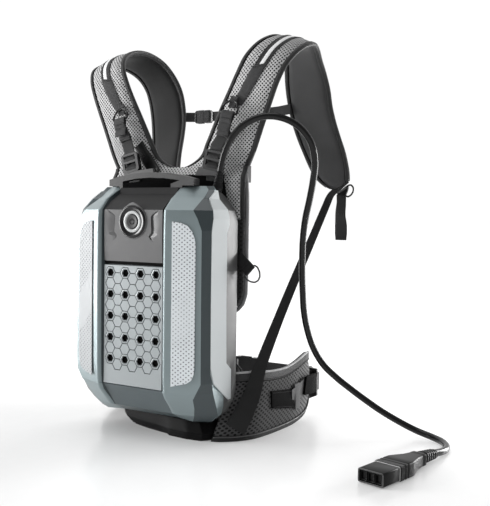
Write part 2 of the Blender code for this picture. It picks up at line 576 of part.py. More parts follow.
# belt webbing along the outside of each wing, then its tri-glide and the front run
def belt_web(tag, s):
    path = [(0.1862, 0.0450, 0.0560), (0.1892, 0.0800, 0.0560), (0.1900, 0.1200, 0.0570), (0.1882, 0.1600, 0.0580), (0.1838, 0.1950, 0.0590),
            (0.1765, 0.2220, 0.0600), (0.1680, 0.2450, 0.0600)]
    p = spline(path, 9)
    p[:, 0] += 0.0020
    p[:, 0] *= s
    ribbon("belt_webbing_" + tag, p, (0.08 * s, 0, 1), BELT_WEB, WEB_T, webm)
    fr = loft_bm([[(x, -0.0030, z) for x, z in rect(-0.0150, 0.0150, -0.0250, 0.0250, 0.004)],
                  [(x, 0.0030, z) for x, z in rect(-0.0150, 0.0150, -0.0250, 0.0250, 0.004)]])
    ob = from_bm("belt_slider_" + tag, fr, plm)
    place(ob, flip(s, (0.1580, 0.2650, 0.0600)), (s * 0.55, -0.83, 0) if s > 0 else (0.55, 0.83, 0), (0, 0, 1))
    for m, dx in enumerate((-0.0075, 0.0060)):
        c = from_bm("c", loft_bm([[(x + dx, -0.01, z) for x, z in rect(-0.0030, 0.0030, -0.0206, 0.0206)],
                                  [(x + dx, 0.01, z) for x, z in rect(-0.0030, 0.0030, -0.0206, 0.0206)]]), plm)
        cutter("cut_slider_%s_%d" % (tag, m), c)
        c.matrix_world = ob.matrix_world.copy()
        cut(ob, c)
    q = spline([(0.1440, 0.2775, 0.0600), (0.1100, 0.2840, 0.0600), (0.0700, 0.2860, 0.0600), (0.0400, 0.2865, 0.0600)], 6)
    q[:, 0] *= s
    ribbon("belt_strap_" + tag, q, (0, 0, 1), BELT_WEB, WEB_T, webm)


both(belt_web)

# side-release buckles: a hollow female half, a male half on two fingers, two squeeze latches
def side_release(prefix, cx, cy, cz, w, h, t, travel):
    """w is the whole width along X, h the height, t the thickness."""
    x0, xm, x1 = cx - w / 2, cx + w * 0.06, cx + w / 2
    fem = loft(prefix + "_female", [[(x, y, z) for x, z in rect(x0, xm - GAP, cz - h / 2, cz + h / 2, 0.003)] for y in (cy - t / 2, cy + t / 2)], plm)
    # mouth for the male fingers and side windows for the latches
    cut(fem, cutter("cut_mouth_" + prefix, box("c", (x0 + w * 0.16, cy - t * 0.30, cz - h / 2 - 0.01), (xm + 0.01, cy + t * 0.30, cz + h / 2 + 0.01), plm)))
    # bar slot for the webbing
    cut(fem, cutter("cut_bar_" + prefix, box("c", (x0 + w * 0.045, cy - t, cz - h * 0.38), (x0 + w * 0.115, cy + t, cz + h * 0.38), plm)))
    male = loft(prefix + "_male", [[(x, y, z) for x, z in rect(xm, x1, cz - h / 2, cz + h / 2, 0.003)] for y in (cy - t / 2, cy + t / 2)], plm)
    tongue = cutter("join_" + prefix, box("c", (x0 + w * 0.20, cy - t * 0.22, cz - h * 0.10), (xm + 0.004, cy + t * 0.22, cz + h * 0.10), plm))
    cut(male, tongue, 'UNION')
    cut(male, cutter("cut_mbar_" + prefix, box("c", (x1 - w * 0.115, cy - t, cz - h * 0.38), (x1 - w * 0.045, cy + t, cz + h * 0.38), plm)))
    for tag, k in (("upper", 1), ("lower", -1)):
        z0, z1 = cz + k * h * 0.24, cz + k * h * 0.53
        box(prefix + "_latch_" + tag, (x0 + w * 0.18, cy - t * 0.24, min(z0, z1)), (xm - 0.0010, cy + t * 0.24, max(z0, z1)), plm, 0.0, 1,
            origin=((x0 + xm) / 2, cy, z1))


side_release("hip_buckle", 0.0, 0.2865, 0.0600, 0.0700, 0.0520, 0.0120, 0.002)
side_release("chest_buckle", -0.0810, 0.2130, 0.6080, 0.0400, 0.0270, 0.0090, 0.0015)

# chest strap webbing from each shoulder strap to the buckle
q = spline([(-0.1200, 0.2020, 0.6080), (-0.1120, 0.2070, 0.6080), (-0.1030, 0.2110, 0.6080)], 4)
ribbon("chest_webbing_left", q, (0, 0, 1), CHEST_WEB, WEB_T, webm)
q = spline([(0.1200, 0.2020, 0.6100), (0.0900, 0.2110, 0.6090), (0.0300, 0.2140, 0.6085), (-0.0300, 0.2140, 0.6080), (-0.0590, 0.2135, 0.6080)], 8)
ribbon("chest_webbing_right", q, (0, 0, 1), CHEST_WEB, WEB_T, webm)


# load lifters on the back of each strap: ring, webbing, ladder lock on the frame
def lifter(tag, s):
    top = np.array([0.1265, -0.0100, 0.6000])
    bar = np.array([0.1215, -0.0180, 0.5770])
    fold = np.array([0.1100, -0.0170, 0.5400])
    low = np.array([0.0985, -0.0200, 0.5190])
    d = (top - bar) / np.linalg.norm(top - bar)
    w = np.array([0.977, 0.0, -0.210])
    w = w - (w @ d) * d
    w /= np.linalg.norm(w)
    # flat D of round wire: straight bar at the bottom, arch on top
    path = [bar - w * 0.0165, bar + w * 0.0165, bar + w * 0.0165 + d * 0.0100, bar + w * 0.0080 + d * 0.0230, bar - w * 0.0080 + d * 0.0230, bar - w * 0.0165 + d * 0.0100]
    ring_body("load_lifter_ring_" + tag, [flip(s, p) for p in path], 0.0017, plm)
    a = bar - d * 0.0035
    p = [flip(s, v) for v in (a, fold, low)]
    ribbon("load_lifter_webbing_" + tag, spline(p, 6), flip(s, w), WEB, WEB_T, webm)
    fr = loft_bm([[(x, -0.0022, z) for x, z in rect(-0.0190, 0.0190, -0.0180, 0.0180, 0.003)],
                  [(x, 0.0022, z) for x, z in rect(-0.0190, 0.0190, -0.0180, 0.0180, 0.003)]])
    ob = from_bm("ladder_lock_" + tag, fr, plm)
    c0 = np.array([0.0930, -0.0215, 0.4940])
    place(ob, flip(s, c0), (0.977, 0.0, -0.210 * s), (0.210 * s, 0.0, 0.977))
    for m, (z0, z1) in enumerate(((0.0050, 0.0140), (-0.0100, 0.0000))):
        c = from_bm("c", loft_bm([[(x, -0.01, z) for x, z in rect(-0.0135, 0.0135, z0, z1)],
                                  [(x, 0.01, z) for x, z in rect(-0.0135, 0.0135, z0, z1)]]), plm)
        cutter("cut_ladder_%s_%d" % (tag, m), c)
        c.matrix_world = ob.matrix_world.copy()
        cut(ob, c)


def ring_body(name, loop, r, mat, sides=6, origin=None):
    """Closed ring of round wire along a planar loop of points."""
    p = np.array(loop, float)
    n = len(p)
    c = p.mean(0)
    nn = np.zeros(3)
    for i in range(n):
        nn += np.cross(p[i] - c, p[(i + 1) % n] - c)
    nn /= np.linalg.norm(nn)
    bm = bmesh.new()
    vs = []
    for i in range(n):
        a = p[i] - p[i - 1]
        b = p[(i + 1) % n] - p[i]
        a /= np.linalg.norm(a)
        b /= np.linalg.norm(b)
        t = a + b
        t /= np.linalg.norm(t)
        o = np.cross(t, nn)
        o /= np.linalg.norm(o)
        k = 1.0 / max(0.5, math.sqrt((1 + float(a @ b)) / 2))
        vs.append([bm.verts.new(tuple(p[i] + o * r * k * math.cos(2 * math.pi * j / sides) + nn * r * math.sin(2 * math.pi * j / sides))) for j in range(sides)])
    for i in range(n):
        a, b = vs[i], vs[(i + 1) % n]
        for j in range(sides):
            bm.faces.new((a[j], a[(j + 1) % sides], b[(j + 1) % sides], b[j]))
    return from_bm(name, bm, mat, 60, origin)


both(lifter)


# lower adjusters: a buckle hung under each strap tip, webbing down to the belt, a free tail
def lower(tag, s):
    fr = loft_bm([[(x, -0.0022, z) for x, z in rect(-0.0180, 0.0180, -0.0130, 0.0130, 0.003)],
                  [(x, 0.0022, z) for x, z in rect(-0.0180, 0.0180, -0.0130, 0.0130, 0.003)]])
    ob = from_bm("lower_adjuster_" + tag, fr, plm)
    place(ob, flip(s, (0.2030, 0.2640, 0.4340)), (1, s * 0.12, s * -0.10), (0, 0.10, 1))
    for m, (z0, z1) in enumerate(((0.0030, 0.0090), (-0.0090, -0.0030))):
        c = from_bm("c", loft_bm([[(x, -0.01, z) for x, z in rect(-0.0132, 0.0132, z0, z1)],
                                  [(x, 0.01, z) for x, z in rect(-0.0132, 0.0132, z0, z1)]]), plm)
        cutter("cut_low_%s_%d" % (tag, m), c)
        c.matrix_world = ob.matrix_world.copy()
        cut(ob, c)
    p = spline([(0.1930, 0.2540, 0.4230), (0.1855, 0.1920, 0.3430), (0.1780, 0.1300, 0.2620), (0.1732, 0.0710, 0.1860), (0.1714, 0.0165, 0.1190),
                (0.1696, 0.0030, 0.0860), (0.1674, -0.0130, 0.0540), (0.1652, -0.0290, 0.0240)], 15)
    if s < 0:
        p = p[:12]
    p[:, 0] *= s
    ribbon("lower_webbing_" + tag, p, (s * 0.80, 0.55, 0.10), LOW_WEB, WEB_T, webm)
    p = spline([(0.2080, 0.2720, 0.4190), (0.2110, 0.2760, 0.3900), (0.2155, 0.2770, 0.3520)], 4)
    p[:, 0] *= s
    ribbon("webbing_tail_" + tag, p, (s * 1.0, 0.10, 0.0), WEB, WEB_T, webm)


both(lower)

# accessory ring on a sewn tab at the right edge of the back pad
d = np.array([0.72, 0.0, -0.69])
d /= np.linalg.norm(d)
w = np.array([0.69, 0.0, 0.72])
w /= np.linalg.norm(w)
hub = np.array([0.1640, -0.0080, 0.3000])
ribbon("side_ring_tab", spline([tuple(hub - d * 0.0340), tuple(hub - d * 0.0170), tuple(hub - d * 0.0040)], 3), tuple(w), 0.0220, 0.0030, webm)
loop = [hub - w * 0.0120, hub + w * 0.0120]
for a in (15, 50, 90, 130, 165):
    loop.append(hub + w * 0.0140 * math.cos(math.radians(a)) + d * (0.0030 + 0.0200 * math.sin(math.radians(a))))
ring_body("side_d_ring", loop, 0.0012, steel, 6, origin=tuple(hub))
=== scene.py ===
import json
import math

import bmesh
import bpy
import numpy as np
from mathutils import Matrix, Vector


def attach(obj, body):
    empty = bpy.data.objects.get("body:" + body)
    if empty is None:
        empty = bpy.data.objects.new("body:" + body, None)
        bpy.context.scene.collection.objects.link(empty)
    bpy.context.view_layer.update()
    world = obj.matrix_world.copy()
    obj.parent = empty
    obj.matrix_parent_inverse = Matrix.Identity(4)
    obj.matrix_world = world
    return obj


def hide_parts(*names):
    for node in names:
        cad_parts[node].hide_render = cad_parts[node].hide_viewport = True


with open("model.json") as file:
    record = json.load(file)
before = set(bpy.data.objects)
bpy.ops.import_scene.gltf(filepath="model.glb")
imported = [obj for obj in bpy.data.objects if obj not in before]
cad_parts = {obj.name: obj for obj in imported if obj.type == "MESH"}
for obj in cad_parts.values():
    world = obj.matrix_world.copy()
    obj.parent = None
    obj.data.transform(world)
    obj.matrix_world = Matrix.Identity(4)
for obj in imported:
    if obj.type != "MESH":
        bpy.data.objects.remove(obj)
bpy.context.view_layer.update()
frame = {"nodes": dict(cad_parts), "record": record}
NODES = frame["nodes"]
BODIES = frame["record"]["behaviour"]["bodies"]
V = Vector


# ------------------------------------------------------------------ materials
def mat_new(name):
    m = bpy.data.materials.new(name)
    m.use_nodes = True
    return m, m.node_tree, m.node_tree.nodes["Principled BSDF"]


def node(nt, kind, **props):
    n = nt.nodes.new(kind)
    for k, v in props.items():
        setattr(n, k, v)
    return n


def put(nt, sock, val):
    if isinstance(val, bpy.types.NodeSocket):
        nt.links.new(val, sock)
    else:
        sock.default_value = val


def calc(nt, op, a, b=0.0, c=0.0, clamp=False):
    n = node(nt, "ShaderNodeMath", operation=op, use_clamp=clamp)
    put(nt, n.inputs[0], a)
    put(nt, n.inputs[1], b)
    if len(n.inputs) > 2:
        put(nt, n.inputs[2], c)
    return n.outputs[0]


def ramp(nt, fac, lo, hi, a=0.0, b=1.0, smooth=False):
    n = node(nt, "ShaderNodeMapRange", clamp=True)
    if smooth:
        n.interpolation_type = 'SMOOTHSTEP'
    put(nt, n.inputs[0], fac)
    n.inputs[1].default_value, n.inputs[2].default_value = lo, hi
    n.inputs[3].default_value, n.inputs[4].default_value = a, b
    return n.outputs[0]


def mixc(nt, fac, a, b):
    n = node(nt, "ShaderNodeMix", data_type='RGBA')
    put(nt, n.inputs[0], fac)
    for i, v in ((6, a), (7, b)):
        if isinstance(v, (tuple, list)):
            v = (*v[:3], 1.0)
        put(nt, n.inputs[i], v)
    return n.outputs[2]


def coords(nt, kind="Object"):
    return node(nt, "ShaderNodeTexCoord").outputs[kind]


def xyz(nt, vec):
    n = node(nt, "ShaderNodeSeparateXYZ")
    nt.links.new(vec, n.inputs[0])
    return n.outputs


def join(nt, x, y, z=0.0):
    n = node(nt, "ShaderNodeCombineXYZ")
    for i, v in enumerate((x, y, z)):
        put(nt, n.inputs[i], v)
    return n.outputs[0]


def noise(nt, vec, scale, detail=2.0, rough=0.5):
    n = node(nt, "ShaderNodeTexNoise")
    nt.links.new(vec, n.inputs["Vector"])
    n.inputs["Scale"].default_value = scale
    n.inputs["Detail"].default_value = detail
    n.inputs["Roughness"].default_value = rough
    return n.outputs["Fac"]


def bump(nt, bsdf, height, dist, strength=1.0, under=None):
    n = node(nt, "ShaderNodeBump")
    n.inputs["Strength"].default_value = strength
    n.inputs["Distance"].default_value = dist
    nt.links.new(height, n.inputs["Height"])
    if under is not None:
        nt.links.new(under, n.inputs["Normal"])
    if bsdf is not None:
        nt.links.new(n.outputs[0], bsdf.inputs["Normal"])
    return n.outputs[0]


def tint(rgb, k):
    return tuple(min(1.0, v * k) for v in rgb)


def plastic(name, rgb, rough=0.42, grain=1500.0, depth=0.00003, vary=0.07, spec=0.5, wear=0.25, metal=0.0):
    """Moulded plastic: fine spark-eroded grain, faint tone and gloss drift, paler rubbed edges."""
    m, nt, b = mat_new(name)
    v = coords(nt)
    drift = noise(nt, v, 60.0, 3.0)
    col = mixc(nt, ramp(nt, drift, 0.3, 0.7), tint(rgb, 1 - vary), tint(rgb, 1 + vary))
    edge = ramp(nt, node(nt, "ShaderNodeNewGeometry").outputs["Pointiness"], 0.52, 0.60)
    scuff = calc(nt, 'MULTIPLY', edge, ramp(nt, noise(nt, v, 90.0, 4.0, 0.7), 0.45, 0.7), 0, True)
    col = mixc(nt, calc(nt, 'MULTIPLY', scuff, wear), col, tint(rgb, 1.9))
    nt.links.new(col, b.inputs["Base Color"])
    fine = noise(nt, v, grain, 2.0, 0.6)
    nt.links.new(ramp(nt, noise(nt, v, 40.0, 3.0), 0.3, 0.7, rough - 0.015, rough + 0.02), b.inputs["Roughness"])
    b.inputs["Specular IOR Level"].default_value = spec
    b.inputs["Metallic"].default_value = metal
    bump(nt, b, fine, depth, 0.8)
    return m


def lattice(nt, u, v, pitch, r_in, r_out):
    """Mask of round holes on a diamond lattice: 1 in a hole, 0 on the ground."""
    a = calc(nt, 'DIVIDE', calc(nt, 'ADD', u, v), pitch * 1.41421)
    b = calc(nt, 'DIVIDE', calc(nt, 'SUBTRACT', u, v), pitch * 1.41421)
    fa = calc(nt, 'SUBTRACT', calc(nt, 'FRACT', a), 0.5)
    fb = calc(nt, 'SUBTRACT', calc(nt, 'FRACT', b), 0.5)
    d = calc(nt, 'SQRT', calc(nt, 'ADD', calc(nt, 'MULTIPLY', fa, fa), calc(nt, 'MULTIPLY', fb, fb)))
    return ramp(nt, d, r_in, r_out, 1.0, 0.0, True)


def spacer(name, ground, hole, pitch=0.0030, uv=True, axes=(0, 2), rough=0.8, r=(0.20, 0.34), squeeze=1.0, far_painted_light=None):
    """Perforated spacer mesh: round holes on a diamond lattice over a fine knit."""
    m, nt, b = mat_new(name)
    vec = coords(nt, "UV" if uv else "Object")
    s = xyz(nt, vec)
    u, v = (s[0], s[1]) if uv else (s[axes[0]], s[axes[1]])
    v = calc(nt, 'MULTIPLY', v, squeeze)
    mask = lattice(nt, u, v, pitch, *r)
    ob = coords(nt)
    drift = ramp(nt, noise(nt, ob, 22.0, 3.0), 0.3, 0.7)
    knit = noise(nt, ob, 2600.0, 2.0, 0.7)
    col = mixc(nt, drift, tint(ground, 0.88), tint(ground, 1.12))
    col = mixc(nt, calc(nt, 'MULTIPLY', knit, 0.25), col, tint(ground, 0.55))
    # painted light: ground paled along y towards the far end
    if far_painted_light:
        col = mixc(nt, ramp(nt, xyz(nt, ob)[1], far_painted_light[0], far_painted_light[1]), col, far_painted_light[2])
    col = mixc(nt, mask, col, hole)
    nt.links.new(col, b.inputs["Base Color"])
    b.inputs["Roughness"].default_value = rough
    b.inputs["Sheen Weight"].default_value = 0.06
    b.inputs["Sheen Roughness"].default_value = 0.5
    b.inputs["Specular IOR Level"].default_value = 0.25
    n0 = bump(nt, None, knit, 0.00010, 0.5)
    bump(nt, b, calc(nt, 'SUBTRACT', 1.0, mask), 0.0007, 0.9, n0)
    return m


def webbing(name, rgb, pitch=0.0015, rough=0.62, edge=None, sheen=0.06, spec=0.35):
    """Woven band: twill ribs across the band, small wear."""
    m, nt, b = mat_new(name)
    s = xyz(nt, coords(nt, "UV"))
    u, v = s[0], s[1]
    saw = calc(nt, 'PINGPONG', calc(nt, 'DIVIDE', u, pitch * 2.4), 0.5)
    rib = calc(nt, 'SINE', calc(nt, 'MULTIPLY', calc(nt, 'ADD', calc(nt, 'DIVIDE', v, pitch), saw), 6.28318))
    row = calc(nt, 'SINE', calc(nt, 'MULTIPLY', u, 6.28318 / (pitch * 1.2)))
    h = calc(nt, 'ADD', calc(nt, 'MULTIPLY', rib, 0.6), calc(nt, 'MULTIPLY', row, 0.4))
    ob = coords(nt)
    drift = ramp(nt, noise(nt, ob, 30.0, 3.0), 0.3, 0.7)
    col = mixc(nt, drift, tint(rgb, 0.85), tint(rgb, 1.18))
    # painted shade: the weave darkened in the valleys between its ribs
    col = mixc(nt, ramp(nt, h, -1.0, 0.2, 0.75, 0.0), col, tint(rgb, 0.35))
    fuzz = ramp(nt, noise(nt, ob, 900.0, 2.0, 0.7), 0.6, 0.8)
    col = mixc(nt, calc(nt, 'MULTIPLY', fuzz, 0.35), col, tint(rgb, 1.7))
    nt.links.new(col, b.inputs["Base Color"])
    b.inputs["Roughness"].default_value = rough
    b.inputs["Sheen Weight"].default_value = sheen
    b.inputs["Sheen Roughness"].default_value = 0.45
    b.inputs["Specular IOR Level"].default_value = spec
    bump(nt, b, h, 0.00022, 0.8)
    return m


def lining(name, rgb, rough=0.72, scale=1700.0):
    """Smooth stretch lining over foam: fine knit and soft sheen."""
    m, nt, b = mat_new(name)
    ob = coords(nt)
    s = xyz(nt, ob)
    k = noise(nt, ob, scale, 2.0, 0.6)
    drift = ramp(nt, noise(nt, ob, 18.0, 3.0), 0.3, 0.7)
    col = mixc(nt, drift, tint(rgb, 0.9), tint(rgb, 1.1))
    col = mixc(nt, calc(nt, 'MULTIPLY', k, 0.3), col, tint(rgb, 0.6))
    nt.links.new(col, b.inputs["Base Color"])
    b.inputs["Roughness"].default_value = rough
    b.inputs["Sheen Weight"].default_value = 0.10
    b.inputs["Sheen Roughness"].default_value = 0.4
    b.inputs["Specular IOR Level"].default_value = 0.3
    n0 = bump(nt, None, k, 0.00006, 0.6)
    bump(nt, b, noise(nt, ob, 60.0, 3.0), 0.0006, 0.35, n0)
    return m


def rubber(name, rgb, rough=0.33, scale=700.0, coat=0.0, spec=0.5):
    m, nt, b = mat_new(name)
    ob = coords(nt)
    drift = ramp(nt, noise(nt, ob, 25.0, 3.0), 0.3, 0.7)
    nt.links.new(mixc(nt, drift, tint(rgb, 0.8), tint(rgb, 1.25)), b.inputs["Base Color"])
    nt.links.new(ramp(nt, noise(nt, ob, 120.0, 4.0), 0.3, 0.7, rough - 0.06, rough + 0.08), b.inputs["Roughness"])
    b.inputs["Specular IOR Level"].default_value = spec
    b.inputs["Coat Weight"].default_value = coat
    bump(nt, b, noise(nt, ob, scale, 2.0), 0.00004, 0.5)
    return m


def steel_mat(name, rgb, rough=0.28):
    m, nt, b = mat_new(name)
    ob = coords(nt)
    nt.links.new(mixc(nt, ramp(nt, noise(nt, ob, 60.0, 3.0), 0.3, 0.7), tint(rgb, 0.85), tint(rgb, 1.1)), b.inputs["Base Color"])
    b.inputs["Metallic"].default_value = 1.0
    nt.links.new(ramp(nt, noise(nt, ob, 300.0, 3.0), 0.3, 0.7, rough - 0.06, rough + 0.1), b.inputs["Roughness"])
    bump(nt, b, noise(nt, ob, 1500.0, 2.0), 0.00002, 0.5)
    return m


def insert_mat(name, rgb, mirror):
    """Perforated insert: small pits on a diamond lattice, with a smooth slanted band."""
    m, nt, b = mat_new(name)
    ob = coords(nt)
    s = xyz(nt, ob)
    x, z = s[0], s[2]
    mask = lattice(nt, x, calc(nt, 'MULTIPLY', z, 1.24), 0.0064, 0.15, 0.25)
    ax = calc(nt, 'ABSOLUTE', x)
    # slanted band rising towards the outer edge
    t = calc(nt, 'ADD', z, calc(nt, 'MULTIPLY', ax, 1.15 if mirror else -0.8))
    c0 = 0.360 if mirror else 0.140
    band = calc(nt, 'MULTIPLY', ramp(nt, t, c0 - 0.036, c0 - 0.035), ramp(nt, t, c0 + 0.035, c0 + 0.036, 1.0, 0.0))
    keep = calc(nt, 'SUBTRACT', 1.0, calc(nt, 'MULTIPLY', band, 1.0 if mirror else 0.35))
    mask = calc(nt, 'MULTIPLY', mask, keep)
    drift = ramp(nt, noise(nt, ob, 30.0, 3.0), 0.3, 0.7)
    col = mixc(nt, drift, tint(rgb, 0.95), tint(rgb, 1.04))
    col = mixc(nt, calc(nt, 'MULTIPLY', mask, 0.95), col, (0.17, 0.18, 0.20))
    nt.links.new(col, b.inputs["Base Color"])
    b.inputs["Roughness"].default_value = 0.42
    b.inputs["Specular IOR Level"].default_value = 0.3
    n0 = bump(nt, None, noise(nt, ob, 1800.0, 2.0), 0.00002, 0.6)
    n1 = bump(nt, None, calc(nt, 'SUBTRACT', 1.0, mask), 0.0006, 0.9, n0)
    bump(nt, b, band, 0.0004, 0.7, n1)
    return m


M = {
    "slate": plastic("slate_plastic", (0.250, 0.303, 0.315), 0.36, 1700.0, 0.00002, 0.008, wear=0.0, metal=0.35),
    # painted shade: darker copy of the slate for the recess walls and floor round the grille and the cut faces of the
    # top opening
    "deep": plastic("slate_recess_painted_shade", (0.040, 0.054, 0.060), 0.36, 1700.0, 0.00002, 0.03),
    # painted shade: darker copy of the slate for the lower facets under the grille
    "slope_shade": plastic("slate_slope_painted_shade", (0.085, 0.108, 0.116), 0.36, 1700.0, 0.00002, 0.03, wear=0.0),
    # painted shade: darker copy of the slate for the valley between each pod and its side panel
    "valley_shade": plastic("slate_valley_painted_shade", (0.046, 0.062, 0.068), 0.34, 1700.0, 0.00002, 0.03),
    "silver": plastic("silver_plastic", (0.620, 0.652, 0.660), 0.55, 1700.0, 0.00002, 0.004, spec=0.12, wear=0.0),
    "grille": plastic("grille_plastic", (0.340, 0.368, 0.378), 0.38, 1700.0, 0.00002, 0.008, wear=0.0, metal=0.2),
    # painted shade: near-black copy of the grille plastic in the grooves between the hex tiles
    "grille_groove_shade": plastic("grille_groove_painted_shade", (0.030, 0.034, 0.036), 0.6, 1700.0, 0.00002, 0.03, spec=0.2, wear=0.0),
    # painted shade: darker copy of the grille plastic on the walls inside the holes
    "grille_hole_wall_shade": plastic("grille_hole_wall_painted_shade", (0.200, 0.218, 0.224), 0.45, 1700.0, 0.00002, 0.03, wear=0.0),
    # the two pod inserts are one part in two tones: the difference between them is painted light and shade
    "insert_left": insert_mat("insert_left", (0.430, 0.445, 0.455), True),
    "insert_right": insert_mat("insert_right", (0.800, 0.840, 0.868), False),
    # painted shade in the grooves where binding meets mesh
    "seam_shade": plastic("seam_shadow", (0.006, 0.006, 0.006), 0.8, 2000.0, 0.00005, 0.1, spec=0.1, wear=0.0),
    "bandcloth": webbing("band_cloth", (0.014, 0.014, 0.0145), 0.0010, 0.6),
    "border": webbing("wing_border", (0.062, 0.062, 0.063), 0.0012, 0.55),
    "piping": rubber("piping_cloth", (0.420, 0.420, 0.424), 0.45, 2500.0),
    "padpipe": rubber("pad_piping", (0.165, 0.165, 0.168), 0.42, 2500.0),
    # floor material; its glow, set below, is painted light
    "floor": plastic("floor_painted_light", (0.800, 0.800, 0.800), 0.22, 300.0, 0.000004, 0.004, spec=0.35, wear=0.0),
    "rear": plastic("rear_plastic", (0.088, 0.089, 0.089), 0.42, 1400.0, 0.00003, 0.02, wear=0.0),
    "bezel": plastic("bezel_plastic", (0.120, 0.120, 0.122), 0.38, 1600.0, 0.00002, 0.02, spec=0.4),
    # painted shade: darker copy of the bezel plastic for the faces above its bend
    "bezel_top_shade": plastic("bezel_top_painted_shade", (0.026, 0.026, 0.0265), 0.50, 1600.0, 0.00002, 0.02, spec=0.14),
    # painted shade: the back frame made near-black and almost without reflection, standing in for the shade behind the
    # handle
    "frame_shade_black": plastic("frame_painted_shade", (0.0045, 0.0045, 0.0047), 0.80, 1300.0, 0.00003, 0.10, spec=0.02, wear=0.0),
    "grip": plastic("grip_plastic", (0.040, 0.040, 0.0405), 0.40, 1400.0, 0.00003, 0.05, spec=0.4),
    "black": plastic("black_plastic", (0.012, 0.012, 0.0125), 0.36, 1300.0, 0.00003, 0.10, spec=0.35),
    "tray": plastic("tray_plastic", (0.0040, 0.0040, 0.0042), 0.50, 1300.0, 0.00002, 0.10, spec=0.08, wear=0.0),
    "hard": plastic("buckle_plastic", (0.0085, 0.0085, 0.009), 0.28, 1500.0, 0.00002, 0.10, spec=0.4, wear=0.15),
    "lockdark": plastic("lock_frame", (0.024, 0.024, 0.0245), 0.32, 1500.0, 0.00002, 0.10, wear=0.15),
    "lock": plastic("lock_plastic", (0.066, 0.066, 0.067), 0.34, 1500.0, 0.00002, 0.10, wear=0.15),
    "gloss": plastic("gloss_plastic", (0.004, 0.004, 0.0045), 0.16, 900.0, 0.00001, 0.05),
    "led": plastic("led_guide", (0.520, 0.535, 0.535), 0.30, 1200.0, 0.00006, 0.05, wear=0.0),
    "button": plastic("button_plastic", (0.030, 0.030, 0.031), 0.40, 1500.0, 0.00003, 0.06, spec=0.35),
    "icon": plastic("button_icon", (0.004, 0.004, 0.004), 0.6, 1500.0, 0.00003, 0.06, spec=0.1, wear=0.0),
    # painted shade: near-black sheet standing in for the shade in grille holes, port floors, the strip under the
    # control bezel and its inside faces
    "hollow": plastic("painted_shade_black", (0.003, 0.003, 0.003), 0.7, 800.0, 0.00004, 0.06, spec=0.1, wear=0.0),
    "cells": plastic("cell_holder", (0.03, 0.13, 0.06), 0.5),
    "board": plastic("board_green", (0.02, 0.12, 0.05), 0.4),
    "mesh": spacer("strap_mesh", (0.600, 0.600, 0.602), (0.006, 0.006, 0.0062), 0.0049, r=(0.25, 0.36)),
    # painted light: the wing mesh pales towards its far end
    "wingmesh": spacer("wing_mesh_painted_light_end", (0.085, 0.085, 0.086), (0.003, 0.003, 0.003), 0.0060, r=(0.26, 0.36), squeeze=0.74, far_painted_light=(0.100, 0.225, (0.270, 0.270, 0.272))),
    "padmesh": spacer("pad_mesh", (0.020, 0.020, 0.0203), (0.003, 0.003, 0.003), 0.0054, False, r=(0.25, 0.37)),
    "web": webbing("webbing_black", (0.016, 0.016, 0.0165)),
    "webdeep": webbing("webbing_patch", (0.0040, 0.0040, 0.0042), sheen=0.0, spec=0.03),
    "beltgrey": webbing("webbing_belt", (0.120, 0.120, 0.122)),
    "webgrey": webbing("webbing_grey", (0.034, 0.034, 0.035)),
    "rim": rubber("rim_cord", (0.085, 0.085, 0.086), 0.45, 2500.0),
    "bind": webbing("binding_tape", (0.026, 0.026, 0.0264), 0.0013, 0.50),
    "reflect": plastic("reflective_tape", (0.900, 0.905, 0.910), 0.30, 500.0, 0.00006, 0.03, wear=0.0),
    "lining": lining("stretch_lining", (0.064, 0.064, 0.065)),
    # painted shade: darker copy of the lining for the left strap
    "lining_left_shade": lining("stretch_lining_left_painted_shade", (0.011, 0.011, 0.0112)),
    "thread": plastic("thread", (0.050, 0.050, 0.051), 0.6, 3000.0, 0.0001, 0.1, spec=0.3, wear=0.0),
    "cord": rubber("cord_jacket", (0.0035, 0.0035, 0.0037), 0.22, 500.0, 0.0, 0.34),
    "boot": rubber("boot_rubber", (0.0060, 0.0060, 0.0063), 0.34, 900.0, 0.0, 0.25),
    "plug": plastic("plug_plastic", (0.0040, 0.0040, 0.0042), 0.36, 1300.0, 0.00004, 0.10, spec=0.14, wear=0.4),
    "plugrim": plastic("plug_rim", (0.075, 0.075, 0.076), 0.35, 1300.0, 0.00002, 0.05),
    "plugline": plastic("plug_ridge", (0.45, 0.45, 0.45), 0.35, 1300.0, 0.00002, 0.05),
    "contact": steel_mat("contact_metal", (0.62, 0.55, 0.42), 0.3),
    "steel": steel_mat("ring_steel", (0.110, 0.110, 0.113), 0.25),
    "bolt": steel_mat("bolt_steel", (0.55, 0.55, 0.56), 0.3),
}


# ------------------------------------------------------------------ mesh tools
def spline(points, n):
    """n points at even spacing on a Catmull-Rom curve through the given points."""
    p = np.array(points, float)
    p = np.vstack([2 * p[0] - p[1], p, 2 * p[-1] - p[-2]])
    out = []
    for i in range(1, len(p) - 2):
        a, b, c, d = p[i - 1], p[i], p[i + 1], p[i + 2]
        for t in np.linspace(0, 1, 24, endpoint=False):
            out.append(0.5 * (2 * b + (c - a) * t + (2 * a - 5 * b + 4 * c - d) * t * t + (3 * b - a - 3 * c + d) * t ** 3))
    out.append(p[-2])
    out = np.array(out)
    s = np.r_[0, np.cumsum(np.linalg.norm(np.diff(out, axis=0), axis=1))]
    u = np.linspace(0, s[-1], n)
    return np.stack([np.interp(u, s, out[:, k]) for k in range(3)], axis=1)


def sample(points, u):
    """Catmull-Rom position by point index, u an array."""
    p = np.array(points, float)
    q = np.vstack([2 * p[0] - p[1], p, 2 * p[-1] - p[-2]])
    out = []
    for w in u:
        i = min(int(w), len(p) - 2)
        t = w - i
        a, b, c, d = q[i], q[i + 1], q[i + 2], q[i + 3]
        out.append(0.5 * (2 * b + (c - a) * t + (2 * a - 5 * b + 4 * c - d) * t * t + (3 * b - a - 3 * c + d) * t ** 3))
    return np.array(out)


